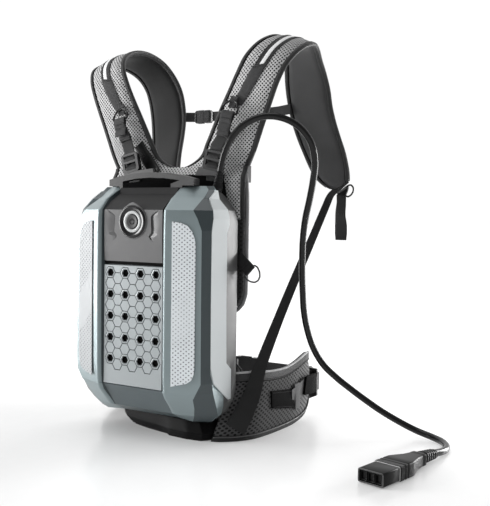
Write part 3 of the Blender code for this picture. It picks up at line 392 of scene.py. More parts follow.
def unit(v):
    v = np.asarray(v, float)
    l = np.linalg.norm(v, axis=-1, keepdims=True)
    return v / np.where(l < 1e-12, 1.0, l)


def arclen(p):
    return np.r_[0, np.cumsum(np.linalg.norm(np.diff(p, axis=0), axis=1))]


def make(name, verts, faces, mats, idx=None, uv=None, smooth=True, body="pack", angle=None):
    """Mesh piece riding on a body. uv is a list of per-corner pairs in face order."""
    me = bpy.data.meshes.new(name)
    me.from_pydata([tuple(map(float, v)) for v in verts], [], faces)
    if isinstance(mats, str):
        mats = [mats]
    for m in mats:
        me.materials.append(M[m])
    if idx is not None:
        me.polygons.foreach_set("material_index", idx)
    if uv is not None:
        lay = me.uv_layers.new(name="UVMap")
        lay.data.foreach_set("uv", np.asarray(uv, np.float32).ravel())
    me.update()
    bm = bmesh.new()
    bm.from_mesh(me)
    bmesh.ops.recalc_face_normals(bm, faces=bm.faces)
    bm.to_mesh(me)
    bm.free()
    if smooth:
        me.shade_smooth()
        if angle is not None:
            me.set_sharp_from_angle(angle=math.radians(angle))
    ob = bpy.data.objects.new(name, me)
    bpy.context.scene.collection.objects.link(ob)
    if body:
        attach(ob, body)
    return ob


def skin(name, P, mats, cols=None, U=None, Vv=None, closed=True, caps=True, smooth=True, body="pack", angle=None, loop=False):
    """Surface through rows of points P[n, m]. U[n, m(+1)] and Vv[n] give UVs in metres."""
    P = np.asarray(P, float)
    n, m = P.shape[:2]
    verts = P.reshape(-1, 3)
    mm = m if closed else m - 1
    faces, idx, uvs = [], [], []
    if U is None:
        d = np.linalg.norm(np.roll(P, -1, axis=1) - P, axis=2)
        U = np.concatenate([np.zeros((n, 1)), np.cumsum(d, axis=1)], axis=1)
    if Vv is None:
        Vv = arclen(P.mean(axis=1))
    if np.ndim(Vv) == 1:
        Vv = np.repeat(np.asarray(Vv)[:, None], U.shape[1], axis=1)
    rows = n if loop else n - 1
    for i in range(rows):
        k = (i + 1) % n
        for j in range(mm):
            l = (j + 1) % m
            faces.append((i * m + j, i * m + l, k * m + l, k * m + j))
            idx.append(cols[j] if cols is not None else 0)
            vk = Vv[k] if k else Vv[-1] + (Vv[-1] - Vv[-2])
            uvs += [(U[i][j], Vv[i][j]), (U[i][j + 1], Vv[i][j + 1]), (U[k][j + 1], vk[j + 1]), (U[k][j], vk[j])]
    if caps and closed and not loop:
        for r, ring in ((0, range(m)), (n - 1, range(m))):
            f = [r * m + j for j in ring]
            faces.append(tuple(f if r else reversed(f)))
            idx.append(cols[0] if cols is not None else 0)
            c = P[r].mean(axis=0)
            order = f if r else list(reversed(f))
            uvs += [(float((verts[q] - c)[0]), float((verts[q] - c)[2])) for q in order]
    return make(name, verts, faces, mats, idx, uvs, smooth, body, angle)


def frames(p, closed=False, up=(0, 0, 1)):
    """Tangent, side and normal along a path, turned as little as possible."""
    p = np.asarray(p, float)
    if closed:
        t = unit(np.roll(p, -1, axis=0) - np.roll(p, 1, axis=0))
    else:
        t = unit(np.gradient(p, axis=0))
    a = np.array(up, float)
    if abs(a @ t[0]) > 0.9:
        a = np.array((1.0, 0, 0))
    s = [unit(np.cross(t[0], a))]
    for i in range(1, len(p)):
        v = s[-1] - (s[-1] @ t[i]) * t[i]
        s.append(unit(v))
    s = np.array(s)
    return t, s, np.cross(s, t)


def tube(name, path, r, mat, sides=10, closed=False, body="pack", caps=True, flat=1.0, up=(0, 0, 1)):
    p = np.asarray(path, float)
    t, s, nn = frames(p, closed, up)
    r = np.broadcast_to(np.asarray(r, float), (len(p),))
    a = np.linspace(0, 2 * np.pi, sides, endpoint=False)
    P = p[:, None, :] + r[:, None, None] * (np.cos(a)[None, :, None] * s[:, None, :] + flat * np.sin(a)[None, :, None] * nn[:, None, :])
    U = np.broadcast_to(np.linspace(0, 2 * np.pi * float(r.mean()), sides + 1), (len(p), sides + 1))
    return skin(name, P, [mat], None, U, arclen(p), True, caps, True, body, None, closed)


def band(name, path, wdir, width, thick, mat, body="pack", slot="webbing", lift=0.0, n=None, curl=0.0):
    """Webbing: rounded flat section along a path, UV across and along in metres."""
    p = np.asarray(path, float)
    if n:
        p = spline(p, n)
    t = unit(np.gradient(p, axis=0))
    w = np.asarray(wdir, float)
    w = np.broadcast_to(w, p.shape) if w.ndim == 1 else w
    w = unit(w - (w * t).sum(1, keepdims=True) * t)
    k = unit(np.cross(w, t))
    width = np.broadcast_to(np.asarray(width, float), (len(p),))
    h = thick / 2
    cols, offs = [], []
    us = [-0.5, -0.46, -0.3, -0.1, 0.1, 0.3, 0.46, 0.5]
    sec = [(u, 0.55 if abs(u) == 0.5 else 1.0) for u in us] + [(u, -0.55 if abs(u) == 0.5 else -1.0) for u in reversed(us)]
    P = np.array([[p[i] + w[i] * (u * width[i]) + k[i] * (h * q + lift + curl * (2 * u) ** 2) for u, q in sec] for i in range(len(p))])
    U = np.array([[u * wd for u, q in sec] + [sec[0][0] * wd] for wd in width])
    return skin(name, P, [mat], None, U, arclen(p), True, True, True, body, 50)


def stitches(name, path, nrm, mat="thread", body="pack", step=0.0036, length=0.0024, r=0.00045, lift=0.0002):
    """A row of sewn stitches: short rounded threads lying along a path."""
    p = np.asarray(path, float)
    s = arclen(p)
    nrm = np.asarray(nrm, float)
    nrm = np.broadcast_to(nrm, p.shape) if nrm.ndim == 1 else nrm
    count = max(1, int(s[-1] / step))
    verts, faces = [], []
    for c in range(count):
        s0 = (c + 0.5) * step - length / 2
        cs = [np.array([np.interp(s0 + length * f, s, p[:, k]) for k in range(3)]) for f in (0, 0.25, 0.75, 1)]
        nn = unit(np.array([np.interp(s0, s, nrm[:, k]) for k in range(3)]))
        t = unit(cs[3] - cs[0])
        w = np.cross(t, nn)
        base = len(verts)
        for q, (rr, hh) in zip(cs, ((0.3, -0.5), (1, 0.35), (1, 0.35), (0.3, -0.5))):
            for a in range(6):
                ang = a * math.pi / 3
                verts.append(q + nn * (lift + r * hh) + (w * math.cos(ang) + nn * math.sin(ang)) * r * rr)
        for i in range(3):
            for a in range(6):
                b = (a + 1) % 6
                faces.append((base + i * 6 + a, base + i * 6 + b, base + i * 6 + 6 + b, base + i * 6 + 6 + a))
        faces.append(tuple(base + a for a in reversed(range(6))))
        faces.append(tuple(base + 18 + a for a in range(6)))
    return make(name, verts, faces, mat, None, None, True, body)


def soften(ob, width=0.0012, segments=3, angle=28, wn=True):
    m = ob.modifiers.new("edge", 'BEVEL')
    m.width = width
    m.segments = segments
    m.limit_method = 'ANGLE'
    m.angle_limit = math.radians(angle)
    m.use_clamp_overlap = True
    m.harden_normals = False
    ob.data.shade_smooth()
    if wn:
        k = ob.modifiers.new("wn", 'WEIGHTED_NORMAL')
        k.keep_sharp = False
        k.weight = 60
    return ob


def prism(name, outline, axis, lo, hi, mat, body="pack", bevel=0.0, seg=3):
    def at(p, t):
        return (t, p[0], p[1]) if axis == 0 else (p[0], t, p[1]) if axis == 1 else (p[0], p[1], t)
    n = len(outline)
    verts = [at(p, lo) for p in outline] + [at(p, hi) for p in outline]
    faces = [tuple(reversed(range(n))), tuple(range(n, 2 * n))] + [(i, (i + 1) % n, n + (i + 1) % n, n + i) for i in range(n)]
    ob = make(name, verts, faces, mat, None, None, False, body, None)
    if bevel:
        soften(ob, bevel, seg, 20)
    return ob


def lathe(name, profile, centre, axis, mat, sides=48, body="pack", angle=40, closed=False):
    """Turned piece: profile of (radius, distance along axis)."""
    c = np.array(centre, float)
    ax = unit(np.array(axis, float))
    a = np.array((1.0, 0, 0)) if abs(ax[0]) < 0.9 else np.array((0, 1.0, 0))
    e1 = unit(np.cross(ax, a))
    e2 = np.cross(ax, e1)
    th = np.linspace(0, 2 * np.pi, sides, endpoint=False)
    P = np.array([[c + ax * d + r * (math.cos(t) * e1 + math.sin(t) * e2) for t in th] for r, d in profile])
    return skin(name, P, [mat], None, None, None, True, not closed, True, body, angle, closed)


def refit(name, mat, width=0.0, seg=2, angle=28):
    ob = NODES[name]
    ob.data.materials.clear()
    ob.data.materials.append(M[mat])
    if width:
        soften(ob, width, seg, angle)
    return ob


# ------------------------------------------------------------------ camera
cam = bpy.data.cameras.new("camera")
cam.sensor_fit = 'AUTO'
cam.sensor_width = 36.0
cam.lens = 784.0 / 506.0 * 36.0
cam.clip_start = 0.05
cam.clip_end = 60.0
cam_ob = bpy.data.objects.new("camera", cam)
R_ = (0.8644001, 0.50260622, 0.01412281)
U_ = (-0.03447534, 0.03122318, 0.9989177)
B_ = (0.50162129, -0.86395144, 0.04431684)
mw = Matrix(((R_[0], U_[0], B_[0], 0.850), (R_[1], U_[1], B_[1], -1.20666667), (R_[2], U_[2], B_[2], 0.392), (0, 0, 0, 1)))
cam_ob.matrix_world = mw
bpy.context.scene.collection.objects.link(cam_ob)
bpy.context.scene.camera = cam_ob

# ------------------------------------------------------------------ power lead
CORD = [
    (0.1159, -0.0330, 0.4741), (0.1192, -0.0335, 0.4870), (0.1260, -0.0340, 0.5080), (0.1390, -0.0335, 0.5310), (0.1610, -0.0305, 0.5530),
    (0.1910, -0.0240, 0.5660), (0.2220, -0.0120, 0.5650), (0.2490, 0.0020, 0.5510), (0.2660, 0.0170, 0.5250), (0.2690, 0.0300, 0.4920),
    (0.2620, 0.0390, 0.4590), (0.2520, 0.0470, 0.4260), (0.2420, 0.0530, 0.3940), (0.2350, 0.0590, 0.3610), (0.2310, 0.0650, 0.3270),
    (0.2290, 0.0700, 0.2920), (0.2285, 0.0750, 0.2580), (0.2290, 0.0800, 0.2240), (0.2330, 0.0870, 0.1900), (0.2420, 0.0950, 0.1560),
    (0.2580, 0.1040, 0.1260), (0.2790, 0.1150, 0.1030), (0.3040, 0.1260, 0.0820), (0.3300, 0.1370, 0.0620), (0.3570, 0.1480, 0.0430),
    (0.3870, 0.1580, 0.0260), (0.4170, 0.1640, 0.0130), (0.4460, 0.1590, 0.0075), (0.4700, 0.1420, 0.0066), (0.4850, 0.1190, 0.0066),
    (0.4900, 0.0960, 0.0068), (0.4882, 0.0740, 0.0080), (0.4842, 0.0560, 0.0100),
]
pts = spline(CORD, 260)
tail = pts[-1].copy()
PD = unit(np.array((-0.2310, -0.9730, 0.0)))
PS = np.array((-PD[1], PD[0], 0.0))
ZC = 0.0122
# the lead runs on inside its boot and ends in the connector's throat
inside = [tail + PD * d + np.array((0, 0, (ZC - tail[2]) * min(1.0, d / 0.04))) for d in np.arange(0.004, 0.0641, 0.004)]
pts = np.vstack([pts, inside])
cu = bpy.data.curves.new("lead", 'CURVE')
cu.dimensions = '3D'
cu.bevel_depth = 0.0060
cu.bevel_resolution = 5
cu.use_fill_caps = True
sp = cu.splines.new('POLY')
sp.points.add(len(pts) - 1)
for q, p in zip(sp.points, pts):
    q.co = (*p, 1.0)
sp.use_smooth = True
cu.materials.append(M["cord"])
lead = bpy.data.objects.new("lead", cu)
bpy.context.scene.collection.objects.link(lead)
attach(lead, "pack")
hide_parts("power_cord")

# connector: ribbed boot, collar, body, face with three ports


def sect(d, w, h, zc, c, n=4):
    """Rounded rectangle at distance d along the connector."""
    o = tail + PD * d
    out = []
    r = c
    for cx, cz, a0 in ((1, 1, 0), (-1, 1, 90), (-1, -1, 180), (1, -1, 270)):
        for k in range(n):
            a = math.radians(a0 + 90.0 * k / (n - 1))
            x = cx * (w / 2 - r) + r * math.cos(a)
            z = cz * (h / 2 - r) + r * math.sin(a)
            q = o + PS * x
            out.append((q[0], q[1], zc + z))
    return out


rows = []
for i in range(41):
    f = i / 40.0
    d = 0.0020 + f * 0.0450
    w = 0.0140 + 0.0048 * f
    h = 0.0138 + 0.0036 * f
    rib = 0.0013 * (1 if (i % 6) in (0, 1, 2) else -1) if 3 < i < 37 else 0.0
    rows.append(sect(d, w + rib, h + rib, tail[2] + (ZC - tail[2]) * f, 0.0052, 5))
boot = skin("plug_boot_ribbed", rows, ["boot"], angle=50)
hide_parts("plug_boot")
rows = []
PROF = [(0.0484, 0.0236, 0.0172, 0.004), (0.0490, 0.0262, 0.0192, 0.004), (0.0560, 0.0270, 0.0196, 0.0035), (0.0575, 0.0262, 0.0190, 0.0035), (0.0620, 0.0268, 0.0194, 0.0035),
        (0.0760, 0.0300, 0.0206, 0.0032), (0.0900, 0.0390, 0.0222, 0.0030), (0.1020, 0.0468, 0.0232, 0.0028), (0.1060, 0.0480, 0.0234, 0.0028), (0.1180, 0.0484, 0.0234, 0.0028),
        (0.1190, 0.0470, 0.0226, 0.0026), (0.1225, 0.0470, 0.0226, 0.0026), (0.1235, 0.0484, 0.0234, 0.0026), (0.1265, 0.0484, 0.0234, 0.0026), (0.1275, 0.0470, 0.0226, 0.0026),
        (0.1305, 0.0470, 0.0226, 0.0026), (0.1315, 0.0486, 0.0234, 0.0026), (0.1400, 0.0486, 0.0234, 0.0026), (0.1408, 0.0446, 0.0208, 0.0024), (0.1424, 0.0446, 0.0208, 0.0024),
        (0.1432, 0.0452, 0.0214, 0.0024), (0.1850, 0.0448, 0.0212, 0.0024), (0.1858, 0.0440, 0.0204, 0.0022)]
for d, w, h, c in PROF:
    rows.append(sect(d, w, h, ZC, c, 5))
# the front lip turns in and runs back to the socket floor
for d, w, h, c in ((0.1860, 0.0424, 0.0188, 0.0018), (0.1856, 0.0408, 0.0172, 0.0014), (0.1812, 0.0404, 0.0168, 0.0012)):
    rows.append(sect(d, w, h, ZC, c, 5))
pb = skin("plug_body_shell", rows, ["plug"], angle=32)
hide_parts("plug_body")
# port walls and contacts inside the socket
for k, off in enumerate((-0.0132, 0.0, 0.0132)):
    def ring(d, a, b):
        o = tail + PD * d + PS * off
        return [tuple(o + PS * (sx * a) + np.array((0, 0, ZC - o[2] + sz * b))) for sx, sz in ((1, 1), (-1, 1), (-1, -1), (1, -1))]
    rows = [ring(0.1660, 0.0058, 0.0072), ring(0.1838, 0.0058, 0.0072), ring(0.1843, 0.0054, 0.0068), ring(0.1840, 0.0046, 0.0058), ring(0.1700, 0.0044, 0.0056)]
    pw = skin("plug_port_%d" % (k + 1), rows, ["plug"], angle=30)
    # painted-shade black floor at the back of each port
    rows = [ring(0.1701, 0.0040, 0.0052), ring(0.1703, 0.0040, 0.0052)]
    skin("plug_port_floor_%d" % (k + 1), rows, ["hollow"], angle=30)
    for j, sz in enumerate((-1, 1)):
        o = tail + PD * 0.1700 + PS * off
        c0 = [(sx * 0.0030, sz * 0.0034 + tz * 0.0008) for sx, tz in ((1, 1), (-1, 1), (-1, -1), (1, -1))]
        rows = [[tuple(o + PD * dd + PS * a + np.array((0, 0, ZC - o[2] + b))) for a, b in c0] for dd in (0.0, 0.0090)]
        cc = skin("plug_contact_%d_%d" % (k + 1, j + 1), rows, ["contact"], angle=30)
# pale ridge round the body behind the step, and rims round the front lip and mouth
tube("plug_lip", np.array(sect(0.1857, 0.0438, 0.0202, ZC, 0.0024, 5)), 0.0007, "plugrim", 8, True, caps=False, up=tuple(PD))
tube("plug_mouth_edge", np.array(sect(0.1856, 0.0412, 0.0176, ZC, 0.0016, 5)), 0.0004, "plugrim", 8, True, caps=False, up=tuple(PD))
rows = [sect(0.14085, 0.0450, 0.0212, ZC, 0.0024, 5), sect(0.1412, 0.0466, 0.0226, ZC, 0.0026, 5), sect(0.1422, 0.0466, 0.0226, ZC, 0.0026, 5), sect(0.14265, 0.0450, 0.0212, ZC, 0.0024, 5)]
skin("plug_ridge", rows, ["plugline"], caps=False, angle=60)

# tapered strain relief on the battery's top corner
rows = []
for i in range(36):
    f = i / 35.0
    z = 0.4376 + 0.0346 * f
    r = np.interp(f, [0, 0.18, 0.24, 0.34, 1.0], [0.0098, 0.0098, 0.0092, 0.0084, 0.0069])
    if f > 0.34 and (i % 5) in (0, 1):
        r -= 0.0006
    cx = 0.1085 + 0.20 * (z - 0.4376)
    rows.append([(cx + r * math.cos(a), -0.0330 + r * math.sin(a), z) for a in np.linspace(0, 2 * math.pi, 32, endpoint=False)])
gl = skin("strain_relief", rows, ["boot"], angle=50)
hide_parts("cable_gland")

# ------------------------------------------------------------------ battery front shell
FLOOR_Y = -0.1245
SHELL = [
    (0.0360, (0.0600, -0.0700), (0.0680, -0.0720), (0.0950, -0.0790), (0.1220, -0.0640), 0.1215),
    (0.0500, (0.0628, -0.0970), (0.0700, -0.1000), (0.1060, -0.0920), (0.1390, -0.0680), 0.1385),
    (0.0660, (0.0634, -0.1085), (0.0700, -0.1150), (0.1130, -0.1020), (0.1440, -0.0800), 0.1428),
    (0.0830, (0.0638, -0.1210), (0.0700, -0.1310), (0.1170, -0.1130), (0.1455, -0.0890), 0.1428),
    (0.0940, (0.0640, -0.1290), (0.0700, -0.1360), (0.1250, -0.1170), (0.1457, -0.0940), 0.1428),
    (0.0956, (0.0640, FLOOR_Y), (0.0700, -0.1362), (0.1260, -0.1172), (0.1457, -0.0945), 0.1428),
    (0.1120, (0.0640, FLOOR_Y), (0.0700, -0.1375), (0.1355, -0.1180), (0.1457, -0.0990), 0.1428),
    (0.1300, (0.0640, FLOOR_Y), (0.0700, -0.1380), (0.1360, -0.1190), (0.1457, -0.1040), 0.1428),
    (0.2420, (0.0640, FLOOR_Y), (0.0700, -0.1388), (0.1360, -0.1200), (0.1457, -0.1052), 0.1428),
    (0.3700, (0.0640, FLOOR_Y), (0.0700, -0.1385), (0.1360, -0.1205), (0.1457, -0.1052), 0.1428),
    (0.3900, (0.0640, FLOOR_Y), (0.0700, -0.1380), (0.1280, -0.1215), (0.1455, -0.1000), 0.1426),
    (0.4040, (0.0640, FLOOR_Y), (0.0700, -0.1370), (0.1180, -0.1195), (0.1430, -0.0975), 0.1395),
    (0.4240, (0.0640, -0.0940), (0.0700, -0.1180), (0.1150, -0.0860), (0.1272, -0.0890), 0.1258),
    (0.4285, (0.0640, -0.0845), (0.0700, -0.1110), (0.1140, -0.0780), (0.1260, -0.0790), 0.1250),
    (0.4400, (0.0640, -0.0840), (0.0700, -0.0920), (0.1120, -0.0640), (0.1240, -0.0620), 0.1232),
    (0.4468, (0.0645, -0.0760), (0.0690, -0.0740), (0.1050, -0.0600), (0.1180, -0.0590), 0.1174),
]


def shell_ring(row, rear):
    """One level of the casing; the pod's inner edge is a round-over of about 6 mm."""
    z, a, b, c, d, xi = row
    a_, b_, c_ = np.array(a), np.array(b), np.array(c)
    la, lc = np.linalg.norm(a_ - b_), np.linalg.norm(c_ - b_)
    p0, p2 = b_ + (a_ - b_) * min(0.9, 0.0062 / la), b_ + (c_ - b_) * min(0.3, 0.0060 / lc)
    arc_ = [tuple((1 - t) ** 2 * p0 + 2 * t * (1 - t) * b_ + t * t * p2) for t in (0.0, 0.2, 0.4, 0.6, 0.8, 1.0)]
    half = [a] + arc_ + [c, d, (xi, d[1] + 0.0004), (xi, rear)]
    return [(x, y, z) for x, y in half] + [(-x, y, z) for x, y in reversed(half)]


def subtract(ob, cutter, op='DIFFERENCE'):
    m = ob.modifiers.new("cut", 'BOOLEAN')
    m.operation = op
    m.solver = 'EXACT'
    m.object = cutter
    bpy.context.view_layer.update()
    dg = bpy.context.evaluated_depsgraph_get()
    me = bpy.data.meshes.new_from_object(ob.evaluated_get(dg))
    ob.modifiers.remove(m)
    old = ob.data
    ob.data = me
    bpy.data.meshes.remove(old)
    bpy.data.objects.remove(cutter, do_unlink=True)


def block(lo, hi, mat="hollow"):
    (a, b, c), (d, e, f) = lo, hi
    v = [(a, b, c), (d, b, c), (d, e, c), (a, e, c), (a, b, f), (d, b, f), (d, e, f), (a, e, f)]
    return make("cutter", v, [(3, 2, 1, 0), (4, 5, 6, 7), (0, 1, 5, 4), (1, 2, 6, 5), (2, 3, 7, 6), (3, 0, 4, 7)], mat, smooth=False, body=None)


rows = [shell_ring(r, -0.0562) for r in SHELL]
# casing columns: slate, painted-shade recess slate, painted-shade valley slate; the whole casing is one slate plastic
cols = [1, 0, 0, 0, 0, 0, 0, 2, 0, 0, 0, 0, 0, 2, 0, 0, 0, 0, 0, 0, 1, 1]
shell = skin("battery_casing", rows, ["slate", "deep", "valley_shade", "slope_shade"], cols, smooth=False)
# floor facets below the grille take the painted-shade slope slate
for pl_ in shell.data.polygons:
    if pl_.material_index == 1 and abs(pl_.normal.x) < 0.35 and pl_.center.z < 0.10:
        pl_.material_index = 3
# the cut faces of the top opening take the painted-shade recess slate
subtract(shell, block((-0.0694, -0.0840, 0.4300), (0.0694, 0.0, 0.4600), "deep"))
soften(shell, 0.0015, 3, 13)
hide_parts("battery_front_shell")

# ------------------------------------------------------------------ vent grille
GX, GZ0, GZ1, GF = 0.0636, 0.0960, 0.3065, -0.1300
HR = 0.0110
HH = HR * math.sqrt(3) / 2


def clip(poly, x0, x1, z0, z1):
    for ax, lim, s in ((0, x0, 1), (0, x1, -1), (1, z0, 1), (1, z1, -1)):
        out = []
        for i, p in enumerate(poly):
            q = poly[(i + 1) % len(poly)]
            a, b = s * (p[ax] - lim), s * (q[ax] - lim)
            if a >= 0:
                out.append(p)
            if (a >= 0) != (b >= 0):
                t = a / (a - b)
                out.append((p[0] + (q[0] - p[0]) * t, p[1] + (q[1] - p[1]) * t))
        poly = out
        if len(poly) < 3:
            return []
    return poly


def hexagon(cx, cz, r):
    return [(cx + r * math.cos(math.radians(60 * k)), cz + r * math.sin(math.radians(60 * k))) for k in range(6)]


gv, gf, gi = [], [], []


def strip_between(a, b, mat):
    """Quads between two rings of the same count; each point is (x, y, z)."""
    base = len(gv)
    gv.extend(a)
    gv.extend(b)
    n = len(a)
    for i in range(n):
        j = (i + 1) % n
        gf.append((base + i, base + j, base + n + j, base + n + i))
        gi.append(mat)


def fill(a, mat):
    base = len(gv)
    gv.extend(a)
    gf.append(tuple(base + i for i in range(len(a))))
    gi.append(mat)


def at_y(poly, y):
    return [(x, y, z) for x, z in poly]


TILES = []
for i in range(-3, 4):
    odd = i % 2 != 0
    for j in range(-8, 9):
        cz = 0.2170 + (j * 2 * HH if odd else (j + 0.5) * 2 * HH)
        if not 0.1255 < cz < 0.2985:
            continue
        hole = odd and abs((j % 2)) == 0 and abs(j) <= 4
        TILES.append((i * HR * 1.5, cz, hole))
groove = GF + 0.0009
for cx, cz, hole in TILES:
    out, face = hexagon(cx, cz, HR), hexagon(cx, cz, HR - 0.00050)
    top = hexagon(cx, cz, HR - 0.00095)
    # the groove round each tile takes the painted-shade groove plastic
    strip_between(at_y(out, groove), at_y(face, groove - 0.0001), 1)
    strip_between(at_y(face, groove - 0.0001), at_y(top, GF), 0)
    if hole:
        r1 = hexagon(cx, cz, 0.0083)
        r2 = hexagon(cx, cz, 0.0078)
        r3 = hexagon(cx, cz, 0.0067)
        r4 = hexagon(cx, cz, 0.0063)
        strip_between(at_y(top, GF), at_y(r1, GF - 0.0003), 0)
        strip_between(at_y(r1, GF - 0.0003), at_y(r2, GF - 0.0001), 0)
        # the hole wall takes the painted-shade wall plastic
        strip_between(at_y(r2, GF - 0.0001), at_y(r3, GF + 0.0016), 2)
        strip_between(at_y(r3, GF + 0.0016), at_y(r4, GF + 0.0046), 3)
        # the floor of each grille hole is a painted-shade black sheet
        fill(at_y(r4, GF + 0.0046), 3)
    else:
        fill(at_y(top, GF), 0)
grid = make("grille_tiles", gv, gf, ["grille", "grille_groove_shade", "grille_hole_wall_shade", "hollow"], gi, smooth=False)
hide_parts("vent_grille")
# frame of the grille round the tiles: plate with a stepped hole traced round the tile field
gv, gf, gi = [], [], []
segs = {}
for cx, cz, hole in TILES:
    h = hexagon(cx, cz, HR)
    for k in range(6):
        a, b = h[k], h[(k + 1) % 6]
        ka = (round(a[0] * 1e5), round(a[1] * 1e5))
        kb = (round(b[0] * 1e5), round(b[1] * 1e5))
        if (kb, ka) in segs:
            del segs[(kb, ka)]
        else:
            segs[(ka, kb)] = (a, b)
nxt = {ka: (kb, v) for (ka, kb), v in segs.items()}
start = next(iter(nxt))
loop_pts, key = [], start
while True:
    kb, v = nxt[key]
    loop_pts.append(v[0])
    key = kb
    if key == start:
        break


def inset(poly, d):
    n = len(poly)
    out = []
    for i in range(n):
        a, b, c = np.array(poly[i - 1]), np.array(poly[i]), np.array(poly[(i + 1) % n])
        u, w = unit(b - a), unit(c - b)
        nu, nw = np.array((u[1], -u[0])), np.array((w[1], -w[0]))
        k = 1 + float(nu @ nw)
        out.append(tuple(b + (nu + nw) * d / max(k, 0.3)))
    return out


lip = inset(loop_pts, 0.00050)
lip2 = inset(loop_pts, 0.00095)
plate_bm = bmesh.new()
rect_pts = [(-GX, GZ0), (GX, GZ0), (GX, GZ1), (-GX, GZ1)]
e = []
rv = [plate_bm.verts.new((x, GF, z)) for x, z in rect_pts]
lv = [plate_bm.verts.new((x, GF, z)) for x, z in lip2]
for ring_v in (rv, lv):
    for q in range(len(ring_v)):
        e.append(plate_bm.edges.new((ring_v[q], ring_v[(q + 1) % len(ring_v)])))
bmesh.ops.triangle_fill(plate_bm, use_beauty=True, use_dissolve=False, edges=e)
plate_bm.verts.ensure_lookup_table()
for a, b, y0, y1, mi in ((lip, lip2, groove - 0.0001, GF, 0), (loop_pts, lip, groove, groove - 0.0001, 1)):
    va = [plate_bm.verts.new((x, y0, z)) for x, z in a]
    vb = [plate_bm.verts.new((x, y1, z)) for x, z in b]
    for q in range(len(a)):
        w = (q + 1) % len(a)
        f = plate_bm.faces.new((va[q], va[w], vb[w], vb[q]))
        f.material_index = mi
rb = [plate_bm.verts.new((x, -0.1249, z)) for x, z in rect_pts]
for q in range(4):
    plate_bm.faces.new((rv[q], rv[(q + 1) % 4], rb[(q + 1) % 4], rb[q]))
plate_bm.faces.new(rb)
bmesh.ops.remove_doubles(plate_bm, verts=plate_bm.verts, dist=0.00001)
bmesh.ops.recalc_face_normals(plate_bm, faces=plate_bm.faces)
pm = bpy.data.meshes.new("grille_plate")
plate_bm.to_mesh(pm)
plate_bm.free()
pm.materials.append(M["grille"])
pm.materials.append(M["grille_groove_shade"])
plate = bpy.data.objects.new("grille_plate", pm)
bpy.context.scene.collection.objects.link(plate)
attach(plate, "pack")

# ------------------------------------------------------------------ control panel
BZ = 0.3835
PROF_OUT = [(-0.1262, 0.3082), (-0.1298, 0.3138), (-0.1308, 0.3350), (-0.1312, 0.3700), (-0.1306, 0.4040), (-0.1130, 0.4190), (-0.0895, 0.4330), (-0.0868, 0.4395), (-0.0842, 0.4440)]
PROF_IN = [(-0.0832, 0.4432), (-0.0848, 0.4390), (-0.0862, 0.4290), (-0.1100, 0.4150), (-0.1249, 0.4050), (-0.1249, 0.3080)]
XS = np.linspace(-0.0634, 0.0634, 9)
# the strip under the bezel and its inside faces take the painted-shade black
rows = [[(x, y, z) for y, z in PROF_OUT + PROF_IN] for x in XS]
# faces above the bend take the painted-shade bezel top
panel = skin("control_panel", rows, ["bezel", "bezel_top_shade", "hollow"], [2, 0, 0, 0, 1, 1, 1, 1, 1, 1, 1, 1, 1, 2, 2], smooth=False)


def face_y(z):
    return float(np.interp(z, [p[1] for p in PROF_OUT[1:5]], [p[0] for p in PROF_OUT[1:5]]))


for s in (-1, 1):
    line = [(0.0520, 0.4015), (0.0400, 0.3945), (0.0388, 0.3840), (0.0400, 0.3660), (0.0345, 0.3585), (0.0400, 0.3520)]
    line = spline([(x, 0.0, z) for x, z in line], 16)
    ring_rows = []
    for q, p in enumerate(line):
        f = math.sin(math.pi * (0.06 + 0.88 * q / 15.0))
        depth = 0.0034 * f ** 0.6
        y = face_y(p[2])
        out = 0.0040 + 0.0150 * f
        ring_rows.append([(s * p[0], y - 0.0012, p[2]), (s * p[0], y + depth, p[2]), (s * (p[0] + out), y - 0.0004, p[2] + (p[2] - 0.377) * 0.15), (s * (p[0] + out), y - 0.0012, p[2] + (p[2] - 0.377) * 0.15)])
    subtract(panel, skin("cutter", ring_rows, ["bezel"], smooth=False, body=None))
hole_rows = [[(0.0136 * math.cos(t), y, BZ + 0.0136 * math.sin(t)) for t in np.linspace(0, 2 * math.pi, 48, endpoint=False)] for y in (-0.140, -0.120)]
subtract(panel, skin("cutter", hole_rows, ["hollow"], smooth=False, body=None))
soften(panel, 0.0009, 3, 16)
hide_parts("control_bezel")
# raised collar with a small peak over the ring
A0 = 32
collar = [(0.0302 * math.cos(math.radians(a)), BZ + 0.0302 * math.sin(math.radians(a))) for a in np.linspace(90 + A0, 450 - A0, 60)] + [(0.0085, BZ + 0.0305), (0.0, BZ + 0.0338), (-0.0085, BZ + 0.0305)]
col = prism("ring_collar", collar, 1, -0.1322, -0.1290, "bezel")
hole_rows = [[(0.0240 * math.cos(t), y, BZ + 0.0240 * math.sin(t)) for t in np.linspace(0, 2 * math.pi, 64, endpoint=False)] for y in (-0.140, -0.120)]
subtract(col, skin("cutter", hole_rows, ["bezel"], smooth=False, body=None))
soften(col, 0.0008, 3, 30)
prof = [(0.0190, -0.1305), (0.0190, -0.1322), (0.0196, -0.1330), (0.0222, -0.1338), (0.0250, -0.1346), (0.0266, -0.1346), (0.0279, -0.1339), (0.0285, -0.1328), (0.0286, -0.1312)]
gr = lathe("button_surround", [(r, y) for r, y in prof], (0, 0, BZ), (0, 1, 0), "gloss", 96, closed=True, angle=60)
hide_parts("button_bezel_ring")
prof = [(0.0133, -0.1300), (0.0133, -0.1326), (0.0138, -0.1331), (0.0160, -0.1334), (0.0183, -0.1331), (0.0188, -0.1326), (0.0188, -0.1300)]
lr = lathe("light_ring", prof, (0, 0, BZ), (0, 1, 0), "led", 96, closed=True, angle=60)
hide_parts("led_ring")
